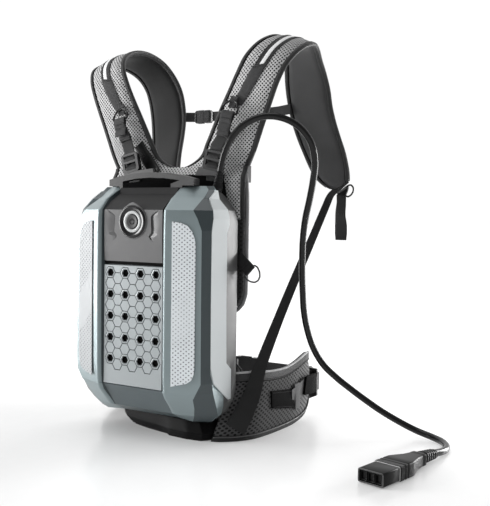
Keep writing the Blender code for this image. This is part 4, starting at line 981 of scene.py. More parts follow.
# push button with a dished face and a raised power mark made of an open ring and a bar
prof = [(0.0002, -0.1331), (0.0050, -0.1332), (0.0095, -0.1335), (0.0108, -0.1338), (0.0118, -0.1337), (0.0125, -0.1330), (0.0127, -0.1300), (0.0127, -0.1270), (0.0002, -0.1270)]
btn = lathe("push_button", prof, (0, 0, BZ), (0, 1, 0), "button", 72, body="power_button", angle=50)
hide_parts("power_button")
arc = [(0.0046 * math.cos(math.radians(a)), -0.1333, BZ + 0.0046 * math.sin(math.radians(a))) for a in np.linspace(125, 415, 36)]
tube("button_mark_ring", arc, 0.00060, "icon", 8, body="power_button", up=(0, 1, 0))
tube("button_mark_bar", [(0, -0.1333, BZ + 0.0012), (0, -0.1333, BZ + 0.0034), (0, -0.1333, BZ + 0.0056)], 0.00060, "icon", 8, body="power_button", up=(0, 1, 0))

# perforated inserts on the pods
SLOPE = (-0.1200 + 0.1388) / (0.136 - 0.070)
INSERT = [(0.0866, 0.1065), (0.1130, 0.1130), (0.1215, 0.1190), (0.1258, 0.1290), (0.1268, 0.1420), (0.1268, 0.3440), (0.1256, 0.3550), (0.1210, 0.3680), (0.1130, 0.3780), (0.1010, 0.3830), (0.0866, 0.3848)]
for tag, s in (("left", -1), ("right", 1)):
    rows = []
    for off in (0.0006, 0.0018):
        rows.append([(s * x, -0.1391 + (x - 0.070) * SLOPE - off, z) for x, z in INSERT])
    pi_ = skin("perforated_insert_" + tag, rows, ["insert_" + tag], smooth=False)
    soften(pi_, 0.0005, 2, 30)
    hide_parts("pod_insert_" + tag)

refit("side_panel_left", "silver", 0.0010, 3, 12)
refit("side_panel_right", "silver", 0.0010, 3, 12)
REAR = [(0.0380, 0.1210, -0.0300), (0.0520, 0.1370, -0.0200), (0.0700, 0.1424, -0.0150), (0.0900, 0.1424, -0.0135), (0.3850, 0.1424, -0.0135), (0.4050, 0.1385, -0.0150), (0.4240, 0.1255, -0.0190), (0.4370, 0.1170, -0.0300)]
rows = []
for z, x, yb in REAR:
    half = [(x, -0.0558), (x, yb - 0.0008), (x - 0.0008, yb)]
    rows.append([(p, q, z) for p, q in half] + [(-p, q, z) for p, q in reversed(half)])
rs = skin("rear_casing", rows, ["rear"], smooth=False)
subtract(rs, block((-0.0694, -0.0700, 0.4300), (0.0694, -0.0280, 0.4600), "rear"))
soften(rs, 0.0012, 3, 12)
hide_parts("battery_rear_shell")
refit("carry_handle", "grip", 0.0022, 4, 12)
# back frame takes the painted-shade black
refit("back_frame", "frame_shade_black", 0.0012, 2, 30)
refit("cell_pack", "cells")
refit("control_board", "board")
for k in range(1, 5):
    refit("frame_bolt_%d" % k, "bolt", 0.0003, 2, 30)

# ------------------------------------------------------------------ shoulder straps
OUTER = [(0.1500, 0.0110, 0.4846), (0.1620, 0.0100, 0.5100), (0.1735, 0.0090, 0.5400), (0.1850, 0.0080, 0.5700), (0.1970, 0.0070, 0.6000),
         (0.2090, 0.0070, 0.6300), (0.2220, 0.0130, 0.6590), (0.2350, 0.0320, 0.6840), (0.2400, 0.0620, 0.6995), (0.2360, 0.0980, 0.7070),
         (0.2270, 0.1320, 0.7035), (0.2190, 0.1620, 0.6900), (0.2170, 0.1870, 0.6680), (0.2180, 0.2020, 0.6420), (0.2190, 0.2110, 0.6130),
         (0.2230, 0.2200, 0.5840), (0.2290, 0.2300, 0.5550), (0.2360, 0.2400, 0.5250), (0.2402, 0.2490, 0.4940), (0.2398, 0.2555, 0.4750), (0.2375, 0.2585, 0.4670)]
INNER = [(0.0002, 0.0110, 0.4846), (0.0430, 0.0100, 0.5020), (0.0600, 0.0080, 0.5300), (0.0750, 0.0070, 0.5600), (0.0900, 0.0060, 0.5900),
         (0.1060, 0.0060, 0.6200), (0.1210, 0.0070, 0.6500), (0.1350, 0.0120, 0.6800), (0.1480, 0.0320, 0.7060), (0.1550, 0.0650, 0.7235),
         (0.1550, 0.1000, 0.7310), (0.1490, 0.1300, 0.7275), (0.1400, 0.1560, 0.7140), (0.1310, 0.1780, 0.6900), (0.1250, 0.1930, 0.6630),
         (0.1240, 0.2030, 0.6340), (0.1270, 0.2110, 0.6040), (0.1340, 0.2160, 0.5740), (0.1470, 0.2240, 0.5350), (0.1690, 0.2430, 0.4780), (0.2010, 0.2535, 0.4490)]


def samp(p, u, phantom=None):
    p = np.array(p, float)
    first = np.array(phantom, float) if phantom is not None else 2 * p[0] - p[1]
    q = np.vstack([first, p, 2 * p[-1] - p[-2]])
    out = []
    for w in u:
        i = min(int(w), len(p) - 2)
        t = w - i
        a, b, c, d = q[i], q[i + 1], q[i + 2], q[i + 3]
        out.append(0.5 * (2 * b + (c - a) * t + (2 * a - 5 * b + 4 * c - d) * t * t + (3 * b - a - 3 * c + d) * t ** 3))
    return np.array(out)


LAST = len(OUTER) - 1.0


def strap_axes(u):
    """Edges, width direction, outward normal and width at station values u."""
    u = np.asarray(u, float)
    o = samp(OUTER, u)
    i = samp(INNER, u, (-0.0430, 0.0100, 0.5020))
    e = 0.02
    u1, u0 = np.clip(u + e, 0, LAST), np.clip(u - e, 0, LAST)
    m1 = (samp(OUTER, u1) + samp(INNER, u1, (-0.0430, 0.0100, 0.5020))) / 2
    m0 = (samp(OUTER, u0) + samp(INNER, u0, (-0.0430, 0.0100, 0.5020))) / 2
    t = unit(m1 - m0)
    w = unit(o - i)
    k = unit(np.cross(w, t))
    return o, i, w, k, t, np.linalg.norm(o - i, axis=1)


# height of the outer face over the middle plane, by distance from the edge
EDGE_D = [0.0, 0.0006, 0.0020, 0.0045, 0.0070, 0.0084, 0.0092, 0.0100, 0.0125, 0.0165, 0.0220, 0.0300, 0.0420, 0.0700]
EDGE_H = [0.0008, 0.0028, 0.0042, 0.0048, 0.0047, 0.0043, 0.0034, 0.0028, 0.0042, 0.0058, 0.0069, 0.0076, 0.0079, 0.0080]
IN_D = [0.0, 0.0006, 0.0020, 0.0045, 0.0070, 0.0084, 0.0094, 0.0104, 0.0125, 0.0170, 0.0230, 0.0330, 0.0420, 0.0700]
IN_H = [0.0008, 0.0028, 0.0040, 0.0046, 0.0045, 0.0040, 0.0020, 0.0018, 0.0038, 0.0056, 0.0064, 0.0068, 0.0070, 0.0070]


def outer_h(d):
    return float(np.interp(d, EDGE_D, EDGE_H))


def on_strap(s, u, f, lift=0.0):
    """Points and normals on the outer face: f runs from -0.5 (inner edge) to 0.5 (outer edge)."""
    o, i, w, k, t, wd = strap_axes(u)
    f = np.broadcast_to(np.asarray(f, float), (len(o),))
    out = []
    for a in range(len(o)):
        d = (0.5 - abs(f[a])) * wd[a]
        out.append((o[a] + i[a]) / 2 + w[a] * f[a] * wd[a] + k[a] * (outer_h(d) + lift))
    out = np.array(out)
    n = k.copy()
    out[:, 0] *= s
    n[:, 0] *= s
    return out, n


def third(p, q, dp, dq):
    """Point at distances dp from p and dq from q, on the left of p to q."""
    d = q - p
    l = max(1e-9, float(np.linalg.norm(d)))
    e = d / l
    x = (dp * dp - dq * dq + l * l) / (2 * l)
    return p + e * x + np.array((-e[1], e[0])) * math.sqrt(max(0.0, dp * dp - x * x))


def unroll(i, o):
    """Lay the strip between two edges flat, keeping its lengths, to cut its cloth from one sheet."""
    a2, b2 = [np.array((i[0][0], i[0][2]))], [np.array((o[0][0], o[0][2]))]
    for k in range(1, len(i)):
        pi = third(a2[-1], b2[-1], np.linalg.norm(i[k] - i[k - 1]), np.linalg.norm(i[k] - o[k - 1]))
        po = third(pi, b2[-1], np.linalg.norm(o[k] - i[k]), np.linalg.norm(o[k] - o[k - 1]))
        a2.append(pi)
        b2.append(po)
    return np.array(a2), np.array(b2)


def strap(tag, s):
    n = 190
    u = np.concatenate([np.linspace(0, 0.9, n // 10, endpoint=False), np.linspace(0.9, LAST, n - n // 10)])
    o, i, w, k, t, wd = strap_axes(u)
    dist = np.r_[0, np.cumsum(np.linalg.norm(np.diff((o + i) / 2, axis=0), axis=1))]
    total = dist[-1]
    ia, oa = i.copy(), o.copy()
    ia[0, 2] = oa[0, 2] = 0.4846
    flat_i, flat_o = unroll(ia, oa)
    half = [0.0, 0.0006, 0.0020, 0.0045, 0.0070, 0.0084, 0.0092, 0.0100, 0.0125, 0.0165, 0.0220, 0.0300]
    fr = [0.46, 0.5, 0.54]
    P, U, Vv = [], [], []
    for a in range(n):
        W = wd[a]
        # round the free tip of the strap by drawing both edges in over its last 16 mm
        rest = total - dist[a]
        pull = 0.0
        if rest < 0.010:
            x = 1 - rest / 0.010
            pull = 0.007 * (1 - math.sqrt(max(0.0, 1 - x * x)))
        lo, hi = pull, W - pull
        Wc = hi - lo
        hs = [min(h, Wc * 0.44 * h / 0.0300) if Wc < 0.068 else h for h in half]
        ds = [lo + h for h in hs] + [lo + Wc * f for f in fr] + [hi - h for h in reversed(hs)]
        row, uu, vv = [], [], []
        sinkage = 1.0 if rest > 0.012 else 0.55 + 0.45 * rest / 0.012
        for q, d in enumerate(ds):
            e = min(d - lo, hi - d)
            h = float(np.interp(e, EDGE_D, EDGE_H)) * sinkage
            row.append(i[a] + w[a] * d + k[a] * h)
            f2 = flat_i[a] + (flat_o[a] - flat_i[a]) * (d / W)
            uu.append(f2[0])
            vv.append(f2[1])
        for q, d in enumerate(reversed(ds)):
            e = min(d - lo, hi - d)
            h = float(np.interp(e, IN_D, IN_H)) * sinkage
            row.append(i[a] + w[a] * d - k[a] * h)
            f2 = flat_i[a] + (flat_o[a] - flat_i[a]) * (d / W)
            uu.append(f2[0])
            vv.append(f2[1])
        row = np.array(row)
        row[:, 2] = np.where(dist[a] < 0.001, 0.4846, row[:, 2])
        row[:, 0] = np.maximum(row[:, 0], 0.0001)
        row[:, 0] *= s
        P.append(row)
        U.append(uu + [uu[0]])
        Vv.append(vv + [vv[0]])
    m = len(half) * 2 + len(fr)
    # binding, painted seam shade, mesh face; binding, painted seam shade, lining on the wearer's side
    face = []
    for q in range(m - 1):
        e = min(q, m - 2 - q)
        face.append(1 if e < 5 else 2 if e < 7 else 0)
    back = []
    for q in range(m - 1):
        e = min(q, m - 2 - q)
        back.append(1 if e < 5 else 2 if e < 7 else 3)
    cols = face + [1] + back + [1]
    # the left strap's lining is the painted-shade copy
    ob = skin("strap_%s_padded" % tag, P, ["mesh", "bind", "seam_shade", "lining" if s > 0 else "lining_left_shade"], cols, np.array(U), np.array(Vv))
    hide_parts("shoulder_strap_" + tag)
    for edge_pts, nm in ((OUTER, "outer"), (INNER, "inner")):
        rim = samp(edge_pts, np.linspace(1.0, LAST - 0.3, 200), None)
        rim[:, 0] *= s
        tube("strap_%s_rim_%s" % (tag, nm), rim, 0.0011, "rim", 8)
    # binding seam stitches on both edges of the outer face
    us = np.linspace(0.3, LAST - 0.5, 250)
    for edge, nm in ((-1, "inner"), (1, "outer")):
        _, _, _, _, _, wd2 = strap_axes(us)
        p, nn = on_strap(s, us, edge * (0.5 - 0.0074 / wd2))
        stitches("strap_%s_stitch_%s" % (tag, nm), p, nn, lift=0.0001)


strap("left", -1)
strap("right", 1)


def on_band(name, s, us, f0, width, thick, mat, lift, taper=None):
    """Band laid on the outer face of a strap, following its crown."""
    us = np.asarray(us, float)
    o, i, w, k, t, wd = strap_axes(us)
    f0 = np.broadcast_to(np.asarray(f0, float), us.shape)
    width = np.broadcast_to(np.asarray(width, float), us.shape)
    P, U = [], []
    lanes = np.linspace(-0.5, 0.5, 7)
    for a in range(len(us)):
        row, uu = [], []
        for q in lanes:
            f = f0[a] + q * width[a] / wd[a]
            d = max(0.0, (0.5 - abs(f)) * wd[a])
            z = outer_h(d) + lift + (thick if abs(q) < 0.5 else thick * 0.6)
            row.append((o[a] + i[a]) / 2 + w[a] * f * wd[a] + k[a] * z)
            uu.append(q * width[a])
        for q in reversed(lanes):
            f = f0[a] + q * width[a] / wd[a]
            d = max(0.0, (0.5 - abs(f)) * wd[a])
            row.append((o[a] + i[a]) / 2 + w[a] * f * wd[a] + k[a] * (outer_h(d) + lift - 0.0003))
            uu.append(q * width[a])
        row = np.array(row)
        row[:, 0] *= s
        P.append(row)
        U.append(uu + [uu[0]])
    return skin(name, P, [mat], None, np.array(U), arclen((o + i) / 2), angle=50)


# yoke below the neckline: mesh panel joining both straps, with a bound tail down each side of the back pad
YK = [(0.4856, 0.0038), (0.4800, 0.0026), (0.4740, -0.0006), (0.4690, -0.0040), (0.4640, -0.0060), (0.4560, -0.0062)]
edge_off = [0.0, 0.0006, 0.0025, 0.0060, 0.0080, 0.0086, 0.0094, 0.0104]
edge_up = [0.0016, 0.0004, -0.0004, -0.0004, 0.0000, 0.0014, 0.0014, 0.0000]
half_x = [0.1500 - e for e in edge_off] + [0.1340, 0.1200, 0.1000, 0.0750, 0.0500, 0.0250]
half_y = edge_up + [-0.0004] + [-0.0006] * 5
XY = [(-x, y) for x, y in zip(half_x, half_y)] + [(0.0, -0.0006)] + [(x, y) for x, y in zip(reversed(half_x), reversed(half_y))]
rows = [[(x, y0 + dy, z) for x, dy in XY] + [(x * 0.996, 0.0178, z) for x, dy in reversed(XY)] for z, y0 in YK]
m_ = len(XY)
face = [1 if min(q, m_ - 2 - q) < 4 else 2 if min(q, m_ - 2 - q) < 6 else 0 for q in range(m_ - 1)]
U_ = [x for x, _ in XY] + [x for x, _ in reversed(XY)] + [XY[0][0]]
skin("yoke_base", rows, ["mesh", "bind", "seam_shade"], face + [1] * (m_ + 1), np.array([U_] * len(rows)), [z for z, _ in YK])
for tag, s in (("left", -1), ("right", 1)):
    rows, vv = [], []
    for z, off, narrow in ((0.4562, 0.0, 0.0), (0.4460, 0.0, 0.0), (0.4340, 0.0, 0.002), (0.4200, 0.0002, 0.006), (0.4060, 0.0006, 0.012), (0.3960, 0.0012, 0.018), (0.3900, 0.0020, 0.022)):
        inner = 0.1000 + narrow
        xs = [0.1500 - e for e in edge_off] + [0.1500 - 0.0104 - (0.1396 - inner) * f for f in (0.25, 0.5, 0.75, 1.0)]
        ys = [-0.0062 + off + d_ for d_ in edge_up] + [-0.0064 + off] * 3 + [-0.0056 + off]
        rows.append([(s * x, y, z) for x, y in zip(xs, ys)] + [(s * x, -0.0030, z) for x in reversed(xs)])
        vv.append(z)
    k_ = len(xs)
    U_ = [[r[0] for r in row] + [row[0][0]] for row in rows]
    skin("yoke_tail_" + tag, rows, ["mesh", "bind", "seam_shade"], [1] * 4 + [2] * 2 + [0] * (k_ - 7) + [1] * (k_ + 1), np.array(U_), vv)

for tag, s in (("left", -1), ("right", 1)):
    us = np.linspace(5.95, 16.2, 110)
    on_band("shoulder_band_" + tag, s, us, 0.0, 0.0270, 0.0010, "bandcloth", 0.0)
    us2 = np.linspace(5.9, 16.0, 110)
    on_band("reflective_stripe_" + tag, s, us2, 0.015, 0.0086, 0.0006, "reflect", 0.0010)
    for e in (-1, 1):
        _, _, _, _, _, wd2 = strap_axes(us)
        p, nn = on_strap(s, us, e * 0.0118 / wd2, 0.0010)
        stitches("shoulder_band_stitch_%s_%s" % (tag, "ab"[(e + 1) // 2]), p, nn)
    # webbing patch sewn below the stripe, drifting to the inner edge
    us3 = np.linspace(6.15, 3.9, 34)
    ff = np.interp(us3, [3.9, 4.8, 6.15], [-0.140, -0.060, -0.005])
    on_band("lifter_patch_" + tag, s, us3, ff, np.interp(us3, [3.9, 6.15], [0.0255, 0.0285]), 0.0020, "webgrey", 0.0006)
    for uu in (6.08, 6.02):
        fl = np.linspace(-0.0125, 0.0125, 12)
        _, _, _, _, _, wd2 = strap_axes([uu])
        p, nn = on_strap(s, [uu] * 12, fl / wd2[0] - 0.005, 0.0027)
        stitches("patch_stitch_%s_%d" % (tag, round(uu * 100)), p, nn)

# ------------------------------------------------------------------ load lifters


def flip(s, p):
    return np.array((s * p[0], p[1], p[2]), float)


def d_ring(name, pts_, r, mat, body, nn=120, round_=0.3):
    p = np.array(pts_, float)
    m = len(p)
    out = []
    for i in range(m):
        a, b, c = p[i - 1], p[i], p[(i + 1) % m]
        la, lc = np.linalg.norm(a - b), np.linalg.norm(c - b)
        d = min(la, lc) * round_
        q0, q1 = b + unit(a - b) * d, b + unit(c - b) * d
        for t in np.linspace(0, 1, 8):
            out.append((1 - t) ** 2 * q0 + 2 * t * (1 - t) * b + t * t * q1)
    out = np.array(out)
    ring_ = np.vstack([out, out[:1]])
    s_ = arclen(ring_)
    at = np.linspace(0, s_[-1], nn, endpoint=False)
    even = np.stack([np.interp(at, s_, ring_[:, k]) for k in range(3)], axis=1)
    c = p.mean(0)
    nrm = np.zeros(3)
    for i in range(m):
        nrm += np.cross(p[i] - c, p[(i + 1) % m] - c)
    return tube(name, even, r, mat, 12, True, body, False, 1.0, tuple(unit(nrm)))


for tag, s in (("left", -1), ("right", 1)):
    top = np.array([0.1265, -0.0100, 0.6000])
    bar = np.array([0.1215, -0.0180, 0.5770])
    fold = np.array([0.1100, -0.0170, 0.5400])
    low = np.array([0.0985, -0.0200, 0.5190])
    d = unit(top - bar)
    w = np.array([0.977, 0.0, -0.210])
    w = unit(w - (w @ d) * d)
    kk = unit(np.cross(w, d))
    loop = [bar - w * 0.0168, bar + w * 0.0168, bar + w * 0.0168 + d * 0.0100, bar + w * 0.0085 + d * 0.0232, bar - w * 0.0085 + d * 0.0232, bar - w * 0.0168 + d * 0.0100]
    rg = d_ring("lifter_ring_" + tag, [flip(s, p) for p in loop], 0.0019, "hard", "pack", 120, 0.34)
    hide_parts("load_lifter_ring_" + tag)
    # sewn tongue of the patch folded round the arch of the ring
    sgn = 1.0 if kk[1] < 0 else -1.0
    out_n = kk * sgn
    pth = [bar + d * 0.0120 - out_n * 0.0032, bar + d * 0.0200 - out_n * 0.0034, bar + d * 0.0250 - out_n * 0.0018, bar + d * 0.0262, bar + d * 0.0290 - out_n * 0.0010, bar + d * 0.0330 + out_n * 0.0004]
    band("ring_tongue_" + tag, spline([flip(s, p) for p in pth], 20), flip(s, w), 0.0150, 0.0016, "webgrey")
    # webbing looped round the straight bar, stitched below it, folded at its lower end
    a = [bar - d * 0.0330 - out_n * 0.0024, bar - d * 0.0200 - out_n * 0.0027, bar - d * 0.0040 - out_n * 0.0030, bar + d * 0.0030 - out_n * 0.0016, bar + d * 0.0034 + out_n * 0.0014,
         bar - d * 0.0030 + out_n * 0.0032, bar - d * 0.0140 + out_n * 0.0006, fold + (bar - fold) * 0.40 + out_n * 0.0006, fold + out_n * 0.0012]
    pth = spline([flip(s, p) for p in a], 46)
    wb = band("lifter_webbing_" + tag, pth, flip(s, w), 0.0250, 0.0018, "webgrey")
    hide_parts("load_lifter_webbing_" + tag)
    e = unit(low - fold)
    b = [fold + out_n * 0.0012, fold - e * -0.0022 + out_n * 0.0002, fold + e * 0.0006 - out_n * 0.0016, fold - e * 0.0100 - out_n * 0.0018]
    band("lifter_hem_" + tag, spline([flip(s, p) for p in b], 16), flip(s, w), 0.0250, 0.0018, "webgrey")
    c = [fold - e * 0.0120 - out_n * 0.0040, fold - out_n * 0.0036, low - out_n * 0.0010, np.array([0.0975, -0.0192, 0.5120]), np.array([0.0965, -0.0190, 0.5070]), np.array([0.0945, -0.0236, 0.5000]), np.array([0.0935, -0.0205, 0.4950])]
    band("lifter_run_" + tag, spline([flip(s, p) for p in c], 40), flip(s, w), 0.0245, 0.0016, "web")
    for m_, q in enumerate((0.0105, 0.0125)):
        ctr = bar - d * q + out_n * (0.0014 + 0.0007)
        ln = [flip(s, ctr + w * x) for x in np.linspace(-0.0115, 0.0115, 10)]
        stitches("lifter_stitch_%s_%d" % (tag, m_), ln, flip(s, out_n), lift=0.0012)
    # lower band from the lock down behind the handle to the frame
    g = [np.array([0.0925, -0.0190, 0.4900]), np.array([0.0905, -0.0235, 0.4830]), np.array([0.0890, -0.0200, 0.4770]), np.array([0.0880, -0.0162, 0.4690]), np.array([0.0870, -0.0150, 0.4580])]
    band("lock_anchor_" + tag, spline([flip(s, p) for p in g], 24), flip(s, (0.977, 0, -0.210)), 0.0245, 0.0016, "web")

    # dark facing sewn along the neckline, and the moulded seat under each lock
    if s < 0:
        g = spline([flip(s, p) for p in ((0.0920, 0.0000, 0.5300), (0.0840, 0.0000, 0.5190), (0.0680, 0.0000, 0.4990), (0.0520, -0.0010, 0.4790), (0.0470, -0.0040, 0.4730))], 40)
        band("neck_facing_" + tag, g, flip(s, (0.80, 0.0, -0.50)), 0.0250, 0.0014, "hard")
    B = [(0.0345, 0.4715), (0.0393, 0.4830), (0.1081, 0.4771), (0.1080, 0.4694)] if s < 0 else [(0.0540, 0.4680), (0.0630, 0.4835), (0.1050, 0.4765), (0.1040, 0.4660)]
    B = [(s * x, z) for x, z in B]
    prism("lock_seat_" + tag, B, 1, -0.0228, -0.0176, "lock", "pack", 0.0012, 3)

for tag, s in (("left", -1), ("right", 1)):
    # black plate under each lock: painted shade, standing in for the dark seen through the lock's windows
    K = [(-0.0190, -0.0200), (0.0190, -0.0200), (0.0190, 0.0150), (-0.0190, 0.0150)]
    K = [(s * 0.0930 + 0.977 * a_ + 0.210 * s * b_, 0.4940 - 0.210 * s * a_ + 0.977 * b_) for a_, b_ in K]
    prism("lock_shade_plate_" + tag, K, 1, -0.0156, -0.0140, "hard", "pack", 0.0008, 2)
    refit("ladder_lock_" + tag, "lockdark", 0.0010, 3, 30)
    refit("belt_slider_" + tag, "hard", 0.0012, 3, 30)
for nm in ("hip_buckle_female", "hip_buckle_male", "hip_buckle_latch_upper", "hip_buckle_latch_lower", "chest_buckle_female", "chest_buckle_male", "chest_buckle_latch_upper", "chest_buckle_latch_lower"):
    refit(nm, "hard", 0.0011, 3, 30)

# ------------------------------------------------------------------ chest strap and lower webbing
q = spline([(-0.1200, 0.2020, 0.6080), (-0.1120, 0.2070, 0.6080), (-0.1030, 0.2110, 0.6080)], 10)
o = band("chest_band_left", q, (0, 0, 1), 0.0200, 0.0018, "web")
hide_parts("chest_webbing_left")
q = spline([(0.1345, 0.1985, 0.6110), (0.1200, 0.2020, 0.6100), (0.0900, 0.2110, 0.6090), (0.0300, 0.2140, 0.6085), (-0.0300, 0.2140, 0.6080), (-0.0590, 0.2135, 0.6080)], 50)
o = band("chest_band_right", q, (0, 0, 1), 0.0200, 0.0018, "web")
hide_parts("chest_webbing_right")
for tag, s in (("left", -1), ("right", 1)):
    p = spline([(0.2375, 0.2550, 0.4684), (0.2249, 0.2553, 0.4600), (0.2115, 0.2545, 0.4510), (0.2005, 0.2530, 0.4400), (0.1935, 0.2440, 0.4160), (0.1855, 0.1920, 0.3430), (0.1780, 0.1300, 0.2620), (0.1732, 0.0710, 0.1860), (0.1722, 0.0165, 0.1190), (0.1716, -0.0010, 0.0860), (0.1685, -0.0250, 0.0540), (0.1600, -0.0440, 0.0240)], 90)
    if s < 0:
        p = p[:70]
    p[:, 0] *= s
    wl = np.interp(np.linspace(0, 1, 90), [0, 0.05, 0.10, 0.6, 0.76, 0.92, 1.0], [0.0060, 0.0110, 0.0150, 0.0185, 0.0215, 0.0330, 0.0370])[:len(p)]
    turn = np.interp(np.linspace(0, 1, 90), [0, 0.05, 0.13, 0.20, 1.0], [0, 0.1, 0.65, 1, 1])[:len(p)]
    ldir = np.outer(1 - turn, (-s * 0.55, 0.0, 0.83)) * -1 + np.outer(turn, (s * 0.80, 0.55, 0.10))
    o = band("lower_band_" + tag, p, ldir, wl, 0.0018, "web")
    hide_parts("lower_webbing_" + tag)
    p = spline([(0.2172, 0.2690, 0.4420), (0.2165, 0.2712, 0.4250), (0.2140, 0.2735, 0.4030), (0.2150, 0.2752, 0.3800), (0.2149, 0.2765, 0.3500)], 50)
    p[:, 0] *= s
    wd = np.interp(np.linspace(0, 1, 50), [0, 0.15, 0.42, 0.68, 0.85, 1], [0.0195, 0.0190, 0.0220, 0.0262, 0.0258, 0.0230])
    turn = np.interp(np.linspace(0, 1, 50), [0, 0.5, 1], [0.35, -0.05, 0.12])
    wdir = np.stack([np.full(50, s * 1.0), turn, np.zeros(50)], axis=1)
    o = band("tail_band_" + tag, p, wdir, wd, 0.0018, "web", body="lower_adjuster_" + tag)
    mid_ = p[21]
    for q in range(2):
        ln = [mid_ + np.array((x, -0.0013, 0.0010 - 0.0022 * q)) for x in np.linspace(-0.0090, 0.0090, 8)]
        stitches("tail_stitch_%s_%d" % (tag, q), ln, (0, -1, 0), body="lower_adjuster_" + tag)
    # moulded adjuster: wedge body with a bar, and its release loop
    A = [(0.2060, 0.4475), (0.2180, 0.4540), (0.2310, 0.4630), (0.2330, 0.4570), (0.2300, 0.4480), (0.2262, 0.4395), (0.2085, 0.4385)]
    ad = prism("adjuster_body_" + tag, [(s * x, z) for x, z in (A if s > 0 else A[::-1])], 1, 0.2680, 0.2735, "hard", "lower_adjuster_" + tag, 0.0018, 3)
    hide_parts("lower_adjuster_" + tag)
    rl = [(s * x, 0.2708, z) for x, z in ((0.2315, 0.4615), (0.2375, 0.4615), (0.2420, 0.4560), (0.2418, 0.4490), (0.2375, 0.4420), (0.2310, 0.4385), (0.2262, 0.4402))]
    tube("adjuster_loop_" + tag, spline(rl, 40), 0.0018, "lockdark", 10, body="lower_adjuster_" + tag, up=(0, 1, 0))
    br = [(s * 0.2085, 0.2675, 0.4450), (s * 0.2180, 0.2675, 0.4500), (s * 0.2285, 0.2675, 0.4570)]
    tube("adjuster_bar_" + tag, spline(br, 12), 0.0018, "lock", 10, body="lower_adjuster_" + tag, up=(0, 1, 0))
    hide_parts("webbing_tail_" + tag)
    q = spline([(0.1440, 0.2775, 0.0600), (0.1100, 0.2840, 0.0600), (0.0700, 0.2860, 0.0600), (0.0400, 0.2865, 0.0600)], 24)
    q[:, 0] *= s
    o = band("belt_run_" + tag, q, (0, 0, 1), 0.0400, 0.0018, "web")
    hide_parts("belt_strap_" + tag)
    path = [(0.1915, 0.1080, 0.0540), (0.1915, 0.1300, 0.0580), (0.1905, 0.1600, 0.0660), (0.1865, 0.1950, 0.0660), (0.1790, 0.2240, 0.0625), (0.1680, 0.2450, 0.0600)]
    p = spline(path, 60)
    p[:, 0] += 0.0020
    p[:, 0] *= s
    o = band("belt_band_" + tag, p, (0.08 * s, 0, 1), 0.0330, 0.0018, "beltgrey")
    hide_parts("belt_webbing_" + tag)
    # tri-glide block where the webbing leaves the wing, and its cross bar
    G = [(0.1540, 0.0310), (0.1540, 0.0760), (0.1585, 0.0880), (0.1590, 0.0990), (0.1622, 0.0990), (0.1626, 0.0895), (0.1820, 0.0880), (0.1848, 0.0850), (0.1848, 0.0330), (0.1660, 0.0240)]
    G = [(s * x, z) for x, z in G][::s]
    prism("belt_glide_" + tag, G, 1, 0.2365, 0.2430, "hard", "pack", 0.0010, 3)
    fp = spline([(0.1962, 0.1570, 0.0690), (0.1958, 0.1760, 0.0680), (0.1936, 0.1965, 0.0660), (0.1903, 0.2110, 0.0640), (0.1862, 0.2265, 0.0620), (0.1800, 0.2400, 0.0605)], 30)
    fp[:, 0] *= s
    band("belt_glide_face_" + tag, fp, (0.08 * s, 0, 1), np.interp(np.linspace(0, 1, 30), [0, 0.06, 0.9, 1.0], [0.0350, 0.0375, 0.0400, 0.0430]), 0.0050, "webdeep")
    for q, (xa, xb) in enumerate(((0.1575, 0.1615), (0.1720, 0.1750))):
        R = [(s * x, z) for x, z in ((xa, 0.0350), (xb, 0.0350), (xb, 0.0830), (xa, 0.0830))][::-s]
        prism("belt_glide_rib_%s_%d" % (tag, q), R, 1, 0.2352, 0.2372, "hard", "pack", 0.0006, 2)
    R = [(s * x, z) for x, z in ((0.1822, 0.0440), (0.1858, 0.0440), (0.1858, 0.0800), (0.1822, 0.0800))][::-s]
    prism("belt_glide_bar_" + tag, R, 1, 0.2445, 0.2470, "piping", "pack", 0.0008, 2)

# ------------------------------------------------------------------ hip belt wings
BOT = [(0.1240, -0.0650, 0.0), (0.1450, -0.0510, 0.0), (0.1630, -0.0330, 0.0), (0.1780, -0.0070, 0.0), (0.1860, 0.0300, 0.0), (0.1905, 0.0800, 0.0),
       (0.1915, 0.1300, 0.0010), (0.1870, 0.1800, 0.0060), (0.1780, 0.2140, 0.0180), (0.1680, 0.2320, 0.0340)]
BOT_LIFTED = [(0.1475, -0.0300, 0.0380), (0.1640, -0.0200, 0.0300), (0.1760, 0.0000, 0.0180), (0.1820, 0.0350, 0.0070), (0.1840, 0.0800, 0.0),
              (0.1830, 0.1300, 0.0010), (0.1790, 0.1800, 0.0060), (0.1720, 0.2140, 0.0180), (0.1640, 0.2340, 0.0340)]
TOP = [(0.1500, 0.0040, 0.1140), (0.1640, 0.0160, 0.1150), (0.1740, 0.0330, 0.1140), (0.1810, 0.0600, 0.1120), (0.1860, 0.1000, 0.1120),
       (0.1880, 0.1400, 0.1180), (0.1870, 0.1760, 0.1255), (0.1800, 0.2080, 0.1265), (0.1700, 0.2300, 0.1200)]
BELT_T = 0.0120


def wing_axes(bottom, n):
    b = spline(bottom, n)
    t = spline(([(0.1380, -0.0070, 0.1135)] if bottom[0][0] < 0.13 else []) + TOP, n)
    d = np.gradient(b, axis=0) + np.gradient(t, axis=0)
    inn = unit(np.stack([-d[:, 1], d[:, 0], np.zeros(n)], axis=1))
    up = unit(t - b)
    return b, t, inn, up, np.linalg.norm(t - b, axis=1)


